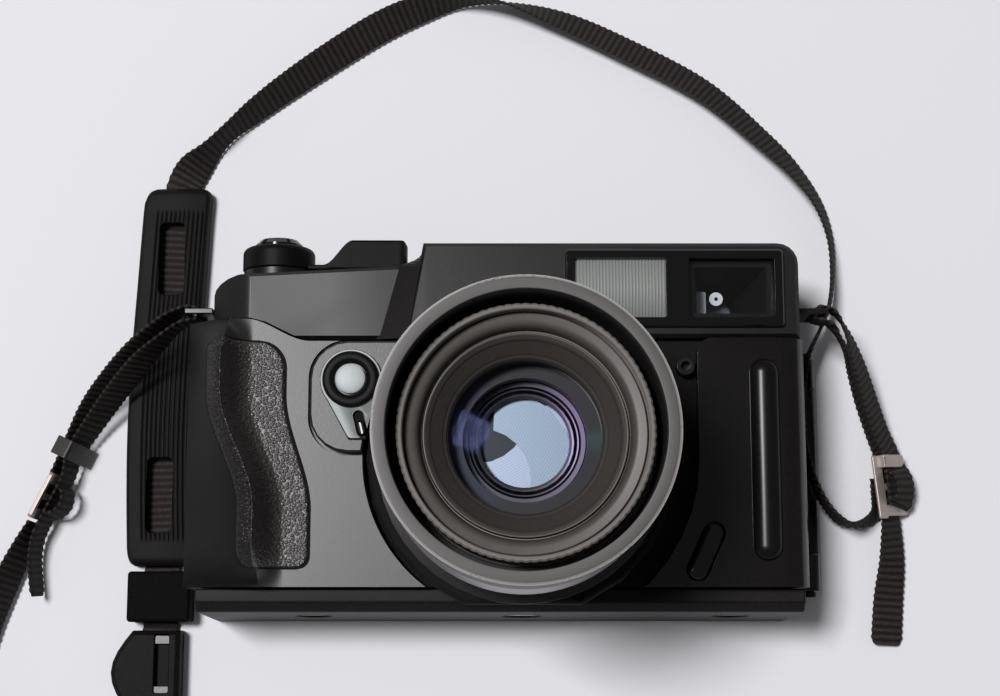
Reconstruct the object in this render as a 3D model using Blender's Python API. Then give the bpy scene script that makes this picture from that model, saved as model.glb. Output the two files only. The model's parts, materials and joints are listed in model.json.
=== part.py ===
# Rigid rangefinder camera for 6 x 9 cm roll film, with its neck strap, lying on its back.
# +Z is the lens axis, pointing up, +Y the camera's top and +X its hinge side. Lengths are in metres.
# The origin is on the lens axis, in the plane of the camera's back.

import math

import bmesh
import bpy
from mathutils import Matrix, Vector

# General clearances and walls
GAP = 0.0004            # gap between pieces that are screwed or seated together
RUN = 0.0003            # radial gap of a turning or sliding fit
WALL = 0.0022           # moulded cover wall

# Body: the lens axis is off centre, so each side has its own distance from it
BODY_LEFT = 0.1050
BODY_RIGHT = 0.0880
BODY_TOP = 0.0372       # seam under the top cover
BODY_BOTTOM = 0.0392    # seam over the base cover
CHASSIS_HALF = 0.0835
CHASSIS_BACK = 0.0095
CHASSIS_FRONT = 0.0458
COVER_FRONT = 0.0500    # front of the top cover's hump and of the flat part of the grip cover
PANEL_FRONT = 0.0520    # front of the right cover
PANEL_INNER = 0.0540    # radius of the right cover's edge round the lens
PANEL_CORNER = 0.0045
PANEL_ROUND = 0.0080    # radius of the right cover's outer edge

# Film path
GATE_HALF_X = 0.0413
GATE_HALF_Y = 0.0278
GATE_BORDER_X = 0.0022
GATE_BORDER_Y = 0.0057
GATE_THICK = 0.0016
CHAMBER_DEPTH = 0.0245
THROAT_RADIUS = 0.0325
SPOOL_X = 0.0660
SPOOL_Z = 0.0236
SPOOL_LENGTH = 0.0650
SPOOL_FLANGE = 0.0124
SPOOL_FLANGE_THICK = 0.0010
SPOOL_CORE = 0.0058
SPOOL_BORE = 0.0026
SPOOL_ROOM = 0.0016     # room round a spool in its chamber
ROLLER_X = 0.0478
ROLLER_RADIUS = 0.0028
ROLLER_Z = 0.0106
KNOB_RADIUS = 0.0055
KNOB_HEAD = 0.0034
PIN_RADIUS = 0.0022
PIN_REACH = 0.0040      # how far a knob's pin or the key stands in the spool's bore

# Back door and its hinge
DOOR_THICK = 0.0042
DOOR_RIM = 0.0025
DOOR_LEFT = 0.1045
HINGE_X = 0.0944
HINGE_Z = 0.0060
HINGE_RADIUS = 0.0038
HINGE_PIN = 0.0017
HINGE_SPLIT = 0.0275    # half the length of the door's own knuckle
PLATE_THICK = 0.0025
LATCH_LENGTH = 0.0220
LATCH_WIDTH = 0.0100
LATCH_HEIGHT = 0.0019
LATCH_Y = 0.0010
LATCH_Z = 0.0190
LATCH_RIDGE = 0.0009
LATCH_RIDGES = 4

# Grip
GRIP_RISE = 0.0150      # crest above the flat front
GRIP_EDGE = 0.0400      # height where the grip's left wall starts to round over
GRIP_END = 0.0130       # length of the rounded ends of the crest
GRIP_STEP = 0.10        # share of the crest's rise that is left at its ends
GRIP_FALL = 0.0085      # width of the slope from the crest to the flat front
GRIP_CREASE = 0.45      # how much of that slope starts at once, as a crease along the crest
GRIP_HOLLOW = 1.7       # how fast that part of the slope levels out
CREST_HIGH_X = -0.0910
CREST_LOW_X = -0.0803
CREST_BEND_TOP = 0.0200
CREST_BEND_LOW = -0.0160
SHOULDER_RISE = 0.0070  # how much higher the grip stands at its outer end
SHOULDER_OUTER = -0.0860
SHOULDER_INNER = -0.0660
RUBBER_THICK = 0.0012
RUBBER_SEAT = 0.0007    # bed of glue under the rubber
RUBBER_ROUND = 0.16     # how much its ends draw in, as a share of its width
RUBBER_TOP = 0.0362
RUBBER_BOTTOM = -0.0335
RUBBER_LEFT = 0.0055    # rubber to the left of the crest
RUBBER_RIGHT = 0.0150   # rubber to the right of the crest
RUBBER_FLARE = 0.0026   # how much wider it is there above the crest's bend

# Top cover
DECK_LEFT = 0.0980
DECK_TOP_LEFT = 0.0588
DECK_TOP_RIGHT = 0.0615
DECK_FRONT = 0.0465
DECK_CORNER = 0.0056
DECK_CORNER_WIDE = 0.0120
HUMP_LEFT_LOW = -0.0366
HUMP_LEFT_HIGH = -0.0310
HUMP_RIGHT = 0.0864
HUMP_TOP = 0.0678
HUMP_ROOF = 0.0050      # the thick roof that holds the accessory shoe
HUMP_CORNER = 0.0065
RAMP_WIDTH = 0.0070     # sloping face between the deck's front and the hump's
RAMP_ROWS = 6           # facets where that face sweeps up to the hump's top
COVER_CHAMFER = 0.0012

# Finder
FRAME_LEFT = 0.0133
FRAME_RIGHT = 0.0813
FRAME_LOW = 0.0408
FRAME_HIGH = 0.0652
FRAME_THICK = 0.0020
FRAME_LIP = 0.0014      # how far the frame laps over the windows and the cover
FRAME_BAR_LEFT = 0.0447
FRAME_BAR_RIGHT = 0.0518
FRAME_EDGE = 0.0028
WINDOW_THICK = 0.0022
TUNNEL_LENGTH = 0.0360
TUNNEL_WALL = 0.0020
EYEPIECE_RADIUS = 0.0058
EYEPIECE_THICK = 0.0016
SHOE_WIDTH = 0.0210
SHOE_LENGTH = 0.0194
SHOE_HEIGHT = 0.0034
SHOE_WALL = 0.0007
SHOE_LIP = 0.0020
SHOE_PAD = 0.0003       # raised contact plate between the shoe's lips
SHOE_Z = 0.0250

# Base cover
BASE_LEFT = 0.1005
BASE_RIGHT = 0.0866
BASE_BACK_LOW = 0.0489
BASE_FRONT_LOW = 0.0467
BASE_FRONT = 0.0454
BASE_CORNER = 0.0030
TRIPOD_RADIUS = 0.0060
TRIPOD_BORE = 0.0032
TRIPOD_Z = 0.0228

# Release and its lock
RELEASE_X = -0.0527
RELEASE_Y = 0.0237
RELEASE_PLATE_LEFT = 0.0131
RELEASE_PLATE_HALF = 0.0180
RELEASE_PLATE_CORNER = 0.0120
RELEASE_PLATE_DROP = 0.0045     # plate centre below the button
RELEASE_PLATE_SUNK = 0.0020
RELEASE_PLATE_TOP = 0.0530
RELEASE_BOSS_RADIUS = 0.0096
RELEASE_BOSS_HEIGHT = 0.0018
RELEASE_BOSS_TAIL = 0.0183
RELEASE_TAIL_WIDTH = 0.0056
RELEASE_TAIL_SHIFT = 0.0021
COLLAR_RADIUS = 0.0087
COLLAR_HEIGHT = 0.0016
BUTTON_RADIUS = 0.0046
BUTTON_HEIGHT = 0.0052
BUTTON_TRAVEL = 0.0022
LOCK_X = -0.0497
LOCK_Y = 0.0101
LOCK_TILT = 14.0
LOCK_SLOT_LENGTH = 0.0084
LOCK_SLOT_WIDTH = 0.0034
LOCK_SLOT_DEPTH = 0.0016
LOCK_LENGTH = 0.0046
LOCK_PROUD = 0.0008
LOCK_TRAVEL = 0.0030

# Right cover's fittings
RIB_X = 0.0744
RIB_WIDTH = 0.0087
RIB_TOP = 0.0305
RIB_BOTTOM = -0.0313
RIB_HEIGHT = 0.0030
OBLONG_X = 0.0556
OBLONG_Y = -0.0286
OBLONG_LENGTH = 0.0186
OBLONG_WIDTH = 0.0064
OBLONG_TILT = -25.0
OBLONG_DEPTH = 0.0034
OBLONG_PROUD = 0.0012
OBLONG_TRAVEL = 0.0015
SYNC_X = 0.0505
SYNC_Y = 0.0285
SYNC_RADIUS = 0.0029
SYNC_BORE = 0.0014
SYNC_HEIGHT = 0.0048

# Advance lever, with the top release in its hub
LEVER_X = -0.0785
LEVER_Z = 0.0300
LEVER_LIFT = 0.0007     # lever above the deck's high end
HUB_RADIUS = 0.0116
HUB_HEIGHT = 0.0076
ARM_END_X = -0.0372
ARM_END_Z = 0.0345
ARM_WIDTH = 0.0095
ARM_HEIGHT = 0.0066
TIP_LENGTH = 0.0195
TIP_HEIGHT = 0.0098
SHAFT_RADIUS = 0.0036
SHAFT_LENGTH = 0.0110
TOP_BUTTON_RADIUS = 0.0078
TOP_BUTTON_HEIGHT = 0.0045
TOP_BUTTON_PROUD = 0.0037
TOP_BUTTON_TRAVEL = 0.0022

# Strap lugs
LUG_Y = 0.0482
LUG_Z = 0.0300
LUG_SPAN = 0.0170
LUG_THICK = 0.0018
LUG_BAR = 0.0020
LUG_SLOT = 0.0034
LUG_LEFT_END = 0.1073
LUG_RIGHT_END = 0.0975

# Lens
LENS_PLATE_RADIUS = 0.0480
LENS_PLATE_THICK = 0.0068
LENS_PLATE_LOW = -0.0445
LENS_GAP = 0.0009       # from the lens plate to the grip cover's round edge
FLANGE_RADIUS = 0.0445
FLANGE_THICK = 0.0028
HELICOID_RADIUS = 0.0405
HELICOID_LENGTH = 0.0126
SLEEVE_WALL = 0.0022
SLEEVE_LENGTH = 0.0140
FOCUS_RADIUS = 0.0420
FOCUS_LIP = 0.0026
FOCUS_RIBS = 30
FOCUS_RIB_DEPTH = 0.0009
TUBE_RADIUS = 0.0368    # sliding part of the barrel
TUBE_LENGTH = 0.0400
RING_RADIUS = 0.0395
RING_LENGTH = 0.0060
RING_RIBS = 24
RING_RIB_DEPTH = 0.0008
RIM_RADIUS = 0.0350     # front part of the barrel, that the hood slides on
RIM_FRONT = 0.1210
FILTER_RADIUS = 0.0333
FILTER_DEPTH = 0.0085
NAME_RING_THICK = 0.0042
NAME_RING_FALL = 0.0030 # drop of the front ring's conical face
RETAINER_RIM = 0.0009   # flat rim of the front retainer
NAME_RING_INNER = 0.0283
CELL_DEPTH = 0.0055     # retainer's seat below the front ring's seat
FRONT_GLASS_RADIUS = 0.0216
FRONT_GLASS_THICK = 0.0070
FRONT_GLASS_BULGE = 0.0024
INNER_GLASS_RADIUS = 0.0172
INNER_GLASS_THICK = 0.0036
REAR_GLASS_RADIUS = 0.0150
REAR_GLASS_THICK = 0.0060
REAR_TUBE_WALL = 0.0020
REAR_TUBE_LENGTH = 0.0160
CASE_RADIUS = 0.0300
CASE_LENGTH = 0.0100
CASE_FLOOR = 0.0030
CASE_ROOM = 0.0042      # height of the room that the blades swing in
CASE_ROOM_RADIUS = 0.0288
PUPIL_RADIUS = 0.0140
BLADE_COUNT = 5
BLADE_THICK = 0.0003
BLADE_PITCH = 0.0007
BLADE_PIVOT = 0.0230
BLADE_INNER = 0.0144
BLADE_OUTER = 0.0280
BLADE_SPAN = 112.0
BLADE_SWING = 41.0
HOOD_RADIUS = 0.0413
HOOD_INNER = 0.0374
HOOD_FRONT = 0.1290
HOOD_LENGTH = 0.0320
HOOD_LIP = 0.0030

# Strap: flat webbing, a shoulder pad and its fittings
WEB_WIDTH = 0.0120
WEB_THICK = 0.0012
END_WIDTH = 0.0108
PAD_WIDTH = 0.0226
PAD_THICK = 0.0072
PAD_HIGH = 0.0965
PAD_LOW = -0.0310
PAD_END = 0.0064        # length of the rounded ends
PAD_DRAW = 0.20         # how much they draw in, as a share of the width
PAD_CHANNEL = 0.0034
PAD_SLOT_WIDTH = 0.0088
PAD_SLOT_LENGTH = 0.0250
PAD_SLOTS = (0.0720, -0.0078)
PAD_CROWN = 0.0010      # how much lower the pad's edges are than its middle
PAD_RIBS = 6
PAD_RIB_DEPTH = 0.0007
BOX_X = -0.1183
BOX_Y = -0.0411
BOX_WIDTH = 0.0206
BOX_LENGTH = 0.0164
BOX_HEIGHT = 0.0096
CLIP_X = -0.1190
CLIP_Y = -0.0655
CLIP_WIDTH = 0.0152
CLIP_LENGTH = 0.0270
CLIP_HEIGHT = 0.0084
SLIDER_WIDTH = 0.0160
SLIDER_LENGTH = 0.0190
SLIDER_THICK = 0.0014
SLIDER_BAR = 0.0022
SLIDER_END = 0.0036     # broad bars at a slider's two ends
LEFT_SLIDER_LENGTH = 0.0160
KEEPER_LENGTH = 0.0062
KEEPER_ROOM = 0.0046
FLOOR_GAP = 0.0003      # strap above the surface that the camera lies on

# Facets
FINE = 40
PLAIN = 28
SMALL = 16
ARC_STEP = 18.0         # degrees for each facet of a rounded corner

FINISHES = {
    "black_plastic": ((0.022, 0.020, 0.019), 0.45, 0.0),
    "gloss_black": ((0.010, 0.010, 0.011), 0.12, 0.0),
    "rubber": ((0.018, 0.017, 0.016), 0.75, 0.0),
    "cast_alloy": ((0.045, 0.045, 0.047), 0.55, 0.6),
    "black_alloy": ((0.020, 0.020, 0.021), 0.35, 0.7),
    "steel": ((0.55, 0.55, 0.56), 0.28, 1.0),
    "silver": ((0.82, 0.82, 0.83), 0.25, 1.0),
    "blade_steel": ((0.30, 0.32, 0.36), 0.35, 1.0),
    "nickel": ((0.62, 0.58, 0.55), 0.30, 1.0),
    "gunmetal": ((0.13, 0.13, 0.14), 0.35, 1.0),
    "brass": ((0.65, 0.48, 0.22), 0.35, 1.0),
    "glass": ((0.70, 0.74, 0.80), 0.02, 0.0),
    "frosted": ((0.30, 0.30, 0.29), 0.55, 0.0),
    "webbing": ((0.020, 0.017, 0.016), 0.85, 0.0),
}

PLANES = {
    "xy": lambda a, b, t: (a, b, t),
    "xz": lambda a, b, t: (a, t, b),
    "yz": lambda a, b, t: (t, a, b),
}


def clear_scene():
    for obj in list(bpy.data.objects):
        bpy.data.objects.remove(obj, do_unlink=True)


def finish_material(finish):
    material = bpy.data.materials.get(finish)
    if material is None:
        colour, roughness, metallic = FINISHES[finish]
        material = bpy.data.materials.new(finish)
        material.use_nodes = True
        shader = material.node_tree.nodes["Principled BSDF"]
        shader.inputs["Base Color"].default_value = (*colour, 1.0)
        shader.inputs["Roughness"].default_value = roughness
        shader.inputs["Metallic"].default_value = metallic
    return material


def make(name, bm, finish, origin=(0.0, 0.0, 0.0)):
    """Turn a bmesh into a named object whose origin is the given point."""
    bmesh.ops.recalc_face_normals(bm, faces=bm.faces)
    bmesh.ops.translate(bm, verts=bm.verts, vec=-Vector(origin))
    mesh = bpy.data.meshes.new(name)
    bm.to_mesh(mesh)
    bm.free()
    mesh.materials.append(finish_material(finish))
    obj = bpy.data.objects.new(name, mesh)
    obj.location = origin
    bpy.context.scene.collection.objects.link(obj)
    return obj


def combine(target, bm, operation):
    """Cut a bmesh out of an object, or join it on, and keep the result as the object's mesh."""
    tool = make(target.name + "_tool", bm, "steel")
    modifier = target.modifiers.new("step", "BOOLEAN")
    modifier.operation = operation
    modifier.solver = "EXACT"
    modifier.object = tool
    bpy.context.view_layer.update()
    depsgraph = bpy.context.evaluated_depsgraph_get()
    mesh = bpy.data.meshes.new_from_object(target.evaluated_get(depsgraph))
    target.modifiers.remove(modifier)
    old = target.data
    target.data = mesh
    bpy.data.meshes.remove(old)
    bpy.data.objects.remove(tool, do_unlink=True)
    mesh.name = target.name


def cut(target, *solids):
    for bm in solids:
        combine(target, bm, "DIFFERENCE")


def join(target, *solids):
    for bm in solids:
        combine(target, bm, "UNION")


def smooth(value):
    value = min(max(value, 0.0), 1.0)
    return value * value * (3.0 - 2.0 * value)


def arc(centre, radius, start, end):
    """Points of an arc, angles in degrees, both ends included."""
    steps = max(1, math.ceil(abs(end - start) / ARC_STEP))
    angles = [math.radians(start + (end - start) * i / steps) for i in range(steps + 1)]
    return [(centre[0] + radius * math.cos(a), centre[1] + radius * math.sin(a)) for a in angles]


def rounded_box(low, high, radius):
    """A rectangle with round corners, from its low corner to its high corner."""
    (x0, y0), (x1, y1) = low, high
    corners = (((x1 - radius, y0 + radius), -90), ((x1 - radius, y1 - radius), 0),
               ((x0 + radius, y1 - radius), 90), ((x0 + radius, y0 + radius), 180))
    points = []
    for centre, start in corners:
        points += arc(centre, radius, start, start + 90)
    return points


def box_outline(low, high):
    return [low, (high[0], low[1]), high, (low[0], high[1])]


def stadium(centre, length, width, tilt):
    """A slot outline with round ends, its length along Y turned by tilt degrees."""
    radius = width / 2
    reach = length / 2 - radius
    points = arc((0, reach), radius, 0, 180) + arc((0, -reach), radius, 180, 360)
    turn = Matrix.Rotation(math.radians(tilt), 2)
    return [tuple(turn @ Vector(p) + Vector(centre)) for p in points]


def inset(outline, distance):
    """Move every edge of a counter-clockwise outline inwards by the distance."""
    points = [Vector(p) for p in outline]
    result = []
    for i, point in enumerate(points):
        before = (point - points[i - 1]).normalized()
        after = (points[(i + 1) % len(points)] - point).normalized()
        normal = Vector((-before.y - after.y, before.x + after.x)).normalized()
        cosine = max(0.3, normal.dot(Vector((-before.y, before.x))))
        result.append(tuple(point + normal * distance / cosine))
    return result


def stack(layers, plane="xy"):
    """A closed solid through outlines of equal point count: each layer is (outline, height)."""
    place = PLANES[plane]
    bm = bmesh.new()
    rings = [[bm.verts.new(place(a, b, t)) for a, b in outline] for outline, t in layers]
    count = len(rings[0])
    for lower, upper in zip(rings, rings[1:]):
        for i in range(count):
            j = (i + 1) % count
            bm.faces.new((lower[i], lower[j], upper[j], upper[i]))
    bm.faces.new(rings[0][::-1])
    bm.faces.new(rings[-1])
    return bm


def prism(outline, low, high, plane="xy", bevel=0.0, foot=0.0):
    """An extruded outline. bevel chamfers its high end, foot its low end."""
    layers = [(outline, low), (outline, high)]
    if bevel:
        layers[-1:] = [(outline, high - bevel), (inset(outline, bevel), high)]
    if foot:
        layers[:1] = [(inset(outline, foot), low), (outline, low + foot)]
    return stack(layers, plane)


def block(low, high):
    return prism(box_outline(low[:2], high[:2]), low[2], high[2])


def turned(profile, segments, axis="z", centre=(0.0, 0.0)):
    """A solid turned from a closed profile of (radius, height) points, about an axis along Z or Y."""
    bm = bmesh.new()
    place = PLANES["xy" if axis == "z" else "xz"]
    rings = []
    for radius, height in profile:
        count = 1 if radius == 0 else segments
        angles = [math.tau * i / segments for i in range(count)]
        rings.append([bm.verts.new(place(centre[0] + radius * math.cos(a),
                                         centre[1] + radius * math.sin(a), height)) for a in angles])
    for one, two in zip(rings, rings[1:] + rings[:1]):
        bridge_rings(bm, one, two, segments)
    return bm


def bridge_rings(bm, one, two, segments):
    if len(one) == 1 and len(two) == 1:
        return
    for i in range(segments):
        j = (i + 1) % segments
        corners = [one[i % len(one)], one[j % len(one)], two[j % len(two)], two[i % len(two)]]
        bm.faces.new(list(dict.fromkeys(corners)))


def disc(radius, low, high, segments, axis="z", centre=(0.0, 0.0)):
    profile = [(0, low), (radius, low), (radius, high), (0, high)]
    return turned(profile, segments, axis, centre)


def ring(inner, outer, low, high, segments, axis="z", centre=(0.0, 0.0)):
    profile = [(inner, low), (outer, low), (outer, high), (inner, high)]
    return turned(profile, segments, axis, centre)


def ribbed_outline(radius, depth, ribs):
    """A round outline with broad ribs and narrow grooves, for a finger ring."""
    points = []
    for i in range(ribs):
        start = math.tau * i / ribs
        for share, r in ((0.0, radius), (0.55, radius), (0.68, radius - depth), (0.87, radius - depth)):
            angle = start + share * math.tau / ribs
            points.append((r * math.cos(angle), r * math.sin(angle)))
    return points


# Heights along the lens axis that several pieces share
LENS_PLATE_BACK = CHASSIS_FRONT + GAP
LENS_PLATE_FRONT = LENS_PLATE_BACK + LENS_PLATE_THICK
HELICOID_BACK = LENS_PLATE_FRONT + GAP
HELICOID_FRONT = HELICOID_BACK + HELICOID_LENGTH
SLEEVE_FRONT = HELICOID_FRONT + SLEEVE_LENGTH
SLEEVE_BORE = TUBE_RADIUS + GAP
SLEEVE_RADIUS = SLEEVE_BORE + SLEEVE_WALL
FOCUS_FRONT = SLEEVE_FRONT + GAP + FOCUS_LIP
SPEED_BACK = FOCUS_FRONT + GAP
APERTURE_BACK = SPEED_BACK + RING_LENGTH + GAP
TUBE_FRONT = APERTURE_BACK + RING_LENGTH + GAP
TUBE_BACK = TUBE_FRONT - TUBE_LENGTH
HOOD_BACK = HOOD_FRONT - HOOD_LENGTH
NAME_SEAT = RIM_FRONT - FILTER_DEPTH
CELL_SEAT = NAME_SEAT - CELL_DEPTH
FRONT_GLASS_FRONT = CELL_SEAT
FRONT_GLASS_BACK = FRONT_GLASS_FRONT - FRONT_GLASS_THICK
INNER_GLASS_FRONT = FRONT_GLASS_BACK - FRONT_GLASS_BULGE - GAP
CASE_FRONT = INNER_GLASS_FRONT - INNER_GLASS_THICK - GAP
CASE_BACK = CASE_FRONT - CASE_LENGTH
BASE_SEAM = -BODY_BOTTOM - GAP
TOP_SEAM = BODY_TOP + GAP
LEVER_UNDER = DECK_TOP_RIGHT + LEVER_LIFT


def shoulder(x):
    """Height in Y of the grip's upper edge: an S-curve that rises towards its outer end."""
    share = smooth((x - SHOULDER_OUTER) / (SHOULDER_INNER - SHOULDER_OUTER))
    return BODY_TOP + SHOULDER_RISE * (1.0 - share)


def crest(y):
    """Place in X of the grip's S-shaped crest."""
    share = smooth((CREST_BEND_TOP - y) / (CREST_BEND_TOP - CREST_BEND_LOW))
    return CREST_HIGH_X + (CREST_LOW_X - CREST_HIGH_X) * share


def grip_height(x, y):
    """Front surface of the grip cover: the crest, its steep outer flank and its soft inner slope."""
    low = min(max((y + BODY_BOTTOM) / GRIP_END, 0.0), 1.0)
    high = min(max((shoulder(x) - y) / GRIP_END, 0.0), 1.0)
    ends = math.sin(low * math.pi / 2) * math.sin(high * math.pi / 2)
    top = COVER_FRONT + GRIP_RISE * (GRIP_STEP + (1.0 - GRIP_STEP) * ends)
    middle = crest(y)
    if x < middle:
        share = max(0.0, (x + BODY_LEFT) / (middle + BODY_LEFT))
        return GRIP_EDGE + (top - GRIP_EDGE) * math.sin(share * math.pi / 2) ** 0.8
    share = min(1.0, (x - middle) / GRIP_FALL)
    hollow = 1.0 - (1.0 - share) ** GRIP_HOLLOW
    return top - (top - COVER_FRONT) * (GRIP_CREASE * hollow + (1.0 - GRIP_CREASE) * smooth(share))


def spool_chamber(side):
    reach = SPOOL_FLANGE + SPOOL_ROOM
    half = SPOOL_LENGTH / 2 + GAP
    centre = side * SPOOL_X
    return block((centre - reach, -half, 0.0), (centre + reach, half, SPOOL_Z + reach))


def roller_slot(side):
    inner = ROLLER_X - ROLLER_RADIUS - GAP
    xs = sorted((side * inner, side * (SPOOL_X - SPOOL_FLANGE)))
    half = SPOOL_LENGTH / 2 + GAP
    return block((xs[0], -half, 0.0), (xs[1], half, ROLLER_Z + ROLLER_RADIUS + GAP))


def chassis():
    frame = make("chassis", block((-CHASSIS_HALF, -BODY_BOTTOM, CHASSIS_BACK),
                                  (CHASSIS_HALF, BODY_TOP, CHASSIS_FRONT)), "cast_alloy")
    floor = CHASSIS_BACK + CHAMBER_DEPTH
    gate = (GATE_HALF_X + GATE_BORDER_X, GATE_HALF_Y + GATE_BORDER_Y)
    join(frame, block((-gate[0], -gate[1], CHASSIS_BACK - GATE_THICK), (*gate, CHASSIS_BACK + GATE_THICK)))
    cut(frame, block((-GATE_HALF_X, -GATE_HALF_Y, 0.0), (GATE_HALF_X, GATE_HALF_Y, floor)))
    cut(frame, disc(THROAT_RADIUS, floor - GAP, CHASSIS_FRONT + GAP, FINE))
    pin_hole = PIN_RADIUS + GAP
    for side in (-1, 1):
        centre = (side * SPOOL_X, SPOOL_Z)
        cut(frame, spool_chamber(side), roller_slot(side))
        cut(frame, disc(pin_hole, -BODY_BOTTOM - GAP, 0.0, SMALL, "y", centre))
    cut(frame, disc(pin_hole, 0.0, BODY_TOP + GAP, SMALL, "y", (-SPOOL_X, SPOOL_Z)))


def film_rollers():
    half = SPOOL_LENGTH / 2 - GAP
    for side, name in ((-1, "film_roller_left"), (1, "film_roller_right")):
        centre = (side * ROLLER_X, ROLLER_Z)
        make(name, disc(ROLLER_RADIUS, -half, half, SMALL, "y", centre), "steel", (centre[0], 0, centre[1]))


def take_up():
    half = SPOOL_LENGTH / 2
    inside = half - SPOOL_FLANGE_THICK
    centre = (-SPOOL_X, SPOOL_Z)
    origin = (-SPOOL_X, 0, SPOOL_Z)
    profile = [(SPOOL_BORE, -half), (SPOOL_FLANGE, -half), (SPOOL_FLANGE, -inside), (SPOOL_CORE, -inside),
               (SPOOL_CORE, inside), (SPOOL_FLANGE, inside), (SPOOL_FLANGE, half), (SPOOL_BORE, half)]
    make("take_up_spool", turned(profile, PLAIN, "y", centre), "black_plastic", origin)
    key = disc(PIN_RADIUS, half - PIN_REACH, BODY_TOP - GAP, SMALL, "y", centre)
    make("take_up_key", key, "steel", origin)


def base_low(z):
    """Underside of the base cover, which slopes from back to front."""
    return -BASE_BACK_LOW + (BASE_BACK_LOW - BASE_FRONT_LOW) * z / BASE_FRONT


def spool_knobs():
    for side, name in ((-1, "spool_knob_left"), (1, "spool_knob_right")):
        low = base_low(SPOOL_Z) + GAP
        head = low + KNOB_HEAD
        top = -SPOOL_LENGTH / 2 + PIN_REACH
        profile = [(0, low), (KNOB_RADIUS, low), (KNOB_RADIUS, head),
                   (PIN_RADIUS, head), (PIN_RADIUS, top), (0, top)]
        centre = (side * SPOOL_X, SPOOL_Z)
        make(name, turned(profile, SMALL, "y", centre), "gunmetal", (centre[0], low, centre[1]))


def knuckle(low, high):
    return disc(HINGE_RADIUS, low, high, SMALL, "y", (HINGE_X, HINGE_Z))


def hinge_bore():
    return disc(HINGE_PIN + RUN, -BODY_BOTTOM - HINGE_RADIUS, BODY_TOP + HINGE_RADIUS, SMALL, "y",
                (HINGE_X, HINGE_Z))


def back_door():
    right = BODY_RIGHT
    low = -BODY_BOTTOM
    rim_top = CHASSIS_BACK - GAP
    origin = (HINGE_X, 0, HINGE_Z)
    outline = rounded_box((-DOOR_LEFT, low), (right, BODY_TOP), DOOR_RIM)
    door = make("back_door", prism(outline, 0.0, rim_top, foot=DOOR_THICK / 4), "black_plastic", origin)
    cut(door, block((-DOOR_LEFT + DOOR_RIM, low + DOOR_RIM, DOOR_THICK),
                    (right - DOOR_RIM, BODY_TOP - DOOR_RIM, CHASSIS_BACK)))
    half = HINGE_SPLIT - GAP
    web = [(right - DOOR_RIM / 2, DOOR_THICK / 4), (HINGE_X, HINGE_Z - HINGE_RADIUS * 0.9),
           (HINGE_X - HINGE_RADIUS * 0.8, HINGE_Z), (right - DOOR_RIM / 2, DOOR_THICK)]
    join(door, knuckle(-half, half), prism(web, -half, half, "xz"))
    cut(door, hinge_bore())


def pressure_plate():
    low = DOOR_THICK + RUN
    half = (GATE_HALF_X + GATE_BORDER_X, GATE_HALF_Y + GATE_BORDER_Y)
    outline = rounded_box((-half[0], -half[1]), half, GATE_BORDER_X)
    make("pressure_plate", prism(outline, low, low + PLATE_THICK, bevel=PLATE_THICK / 5), "black_alloy")


def hinge_pin():
    head = HINGE_PIN + RUN + GAP
    low = -BODY_BOTTOM - GAP
    high = BODY_TOP + GAP
    cap = HINGE_PIN
    profile = [(0, low - cap), (head, low - cap), (head, low), (HINGE_PIN, low), (HINGE_PIN, high),
               (head, high), (head, high + cap), (0, high + cap)]
    make("hinge_pin", turned(profile, SMALL, "y", (HINGE_X, HINGE_Z)), "steel")


def door_latch():
    half = LATCH_LENGTH / 2
    origin = (-BODY_LEFT, LATCH_Y, LATCH_Z)
    outline = box_outline((LATCH_Y - half, LATCH_Z - LATCH_WIDTH / 2),
                          (LATCH_Y + half, LATCH_Z + LATCH_WIDTH / 2))
    face = -BODY_LEFT - RUN
    back = face - LATCH_HEIGHT + LATCH_RIDGE
    slab = prism(outline, back, face, "yz", foot=LATCH_RIDGE / 3)
    latch = make("door_latch", slab, "black_plastic", origin)
    pitch = LATCH_LENGTH / (2 * LATCH_RIDGES)
    for i in range(LATCH_RIDGES):
        middle = LATCH_Y + (i - (LATCH_RIDGES - 1) / 2) * pitch
        join(latch, block((back - LATCH_RIDGE, middle - pitch / 4, LATCH_Z - LATCH_WIDTH / 3),
                          (face - RUN, middle + pitch / 4, LATCH_Z + LATCH_WIDTH / 3)))


def grip_section(y):
    """Cross-section of the grip cover at one place along Y, as (x, y, z) points."""
    edge = LENS_PLATE_RADIUS + LENS_GAP
    right = -math.sqrt(edge ** 2 - y ** 2)
    inner = -CHASSIS_HALF - GAP
    back = CHASSIS_FRONT + GAP
    rim = CHASSIS_BACK + GAP
    middle = crest(y)
    flank = [-BODY_LEFT + (middle + BODY_LEFT) * (i / 6) ** 1.6 for i in range(6, -1, -1)]
    slope = [middle + GRIP_FALL * i / 6 for i in range(6, 0, -1)]
    section = [(-BODY_LEFT, y, rim), (inner, y, rim), (inner, y, back), (right, y, back)]
    return section + [(x, y, grip_height(x, y)) for x in [right] + slope + flank]


def bridge(sections):
    """A closed solid through cross-sections of equal point count."""
    bm = bmesh.new()
    rings = [[bm.verts.new(p) for p in section] for section in sections]
    count = len(rings[0])
    for lower, upper in zip(rings, rings[1:]):
        for i in range(count):
            j = (i + 1) % count
            bm.faces.new((lower[i], lower[j], upper[j], upper[i]))
    bm.faces.new(rings[0][::-1])
    bm.faces.new(rings[-1])
    bmesh.ops.triangulate(bm, faces=bm.faces)
    return bm


def spread(low, high, rows):
    """Values from low to high, closer together towards both ends."""
    return [low + (high - low) * (1.0 - math.cos(math.pi * i / rows)) / 2 for i in range(rows + 1)]


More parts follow.
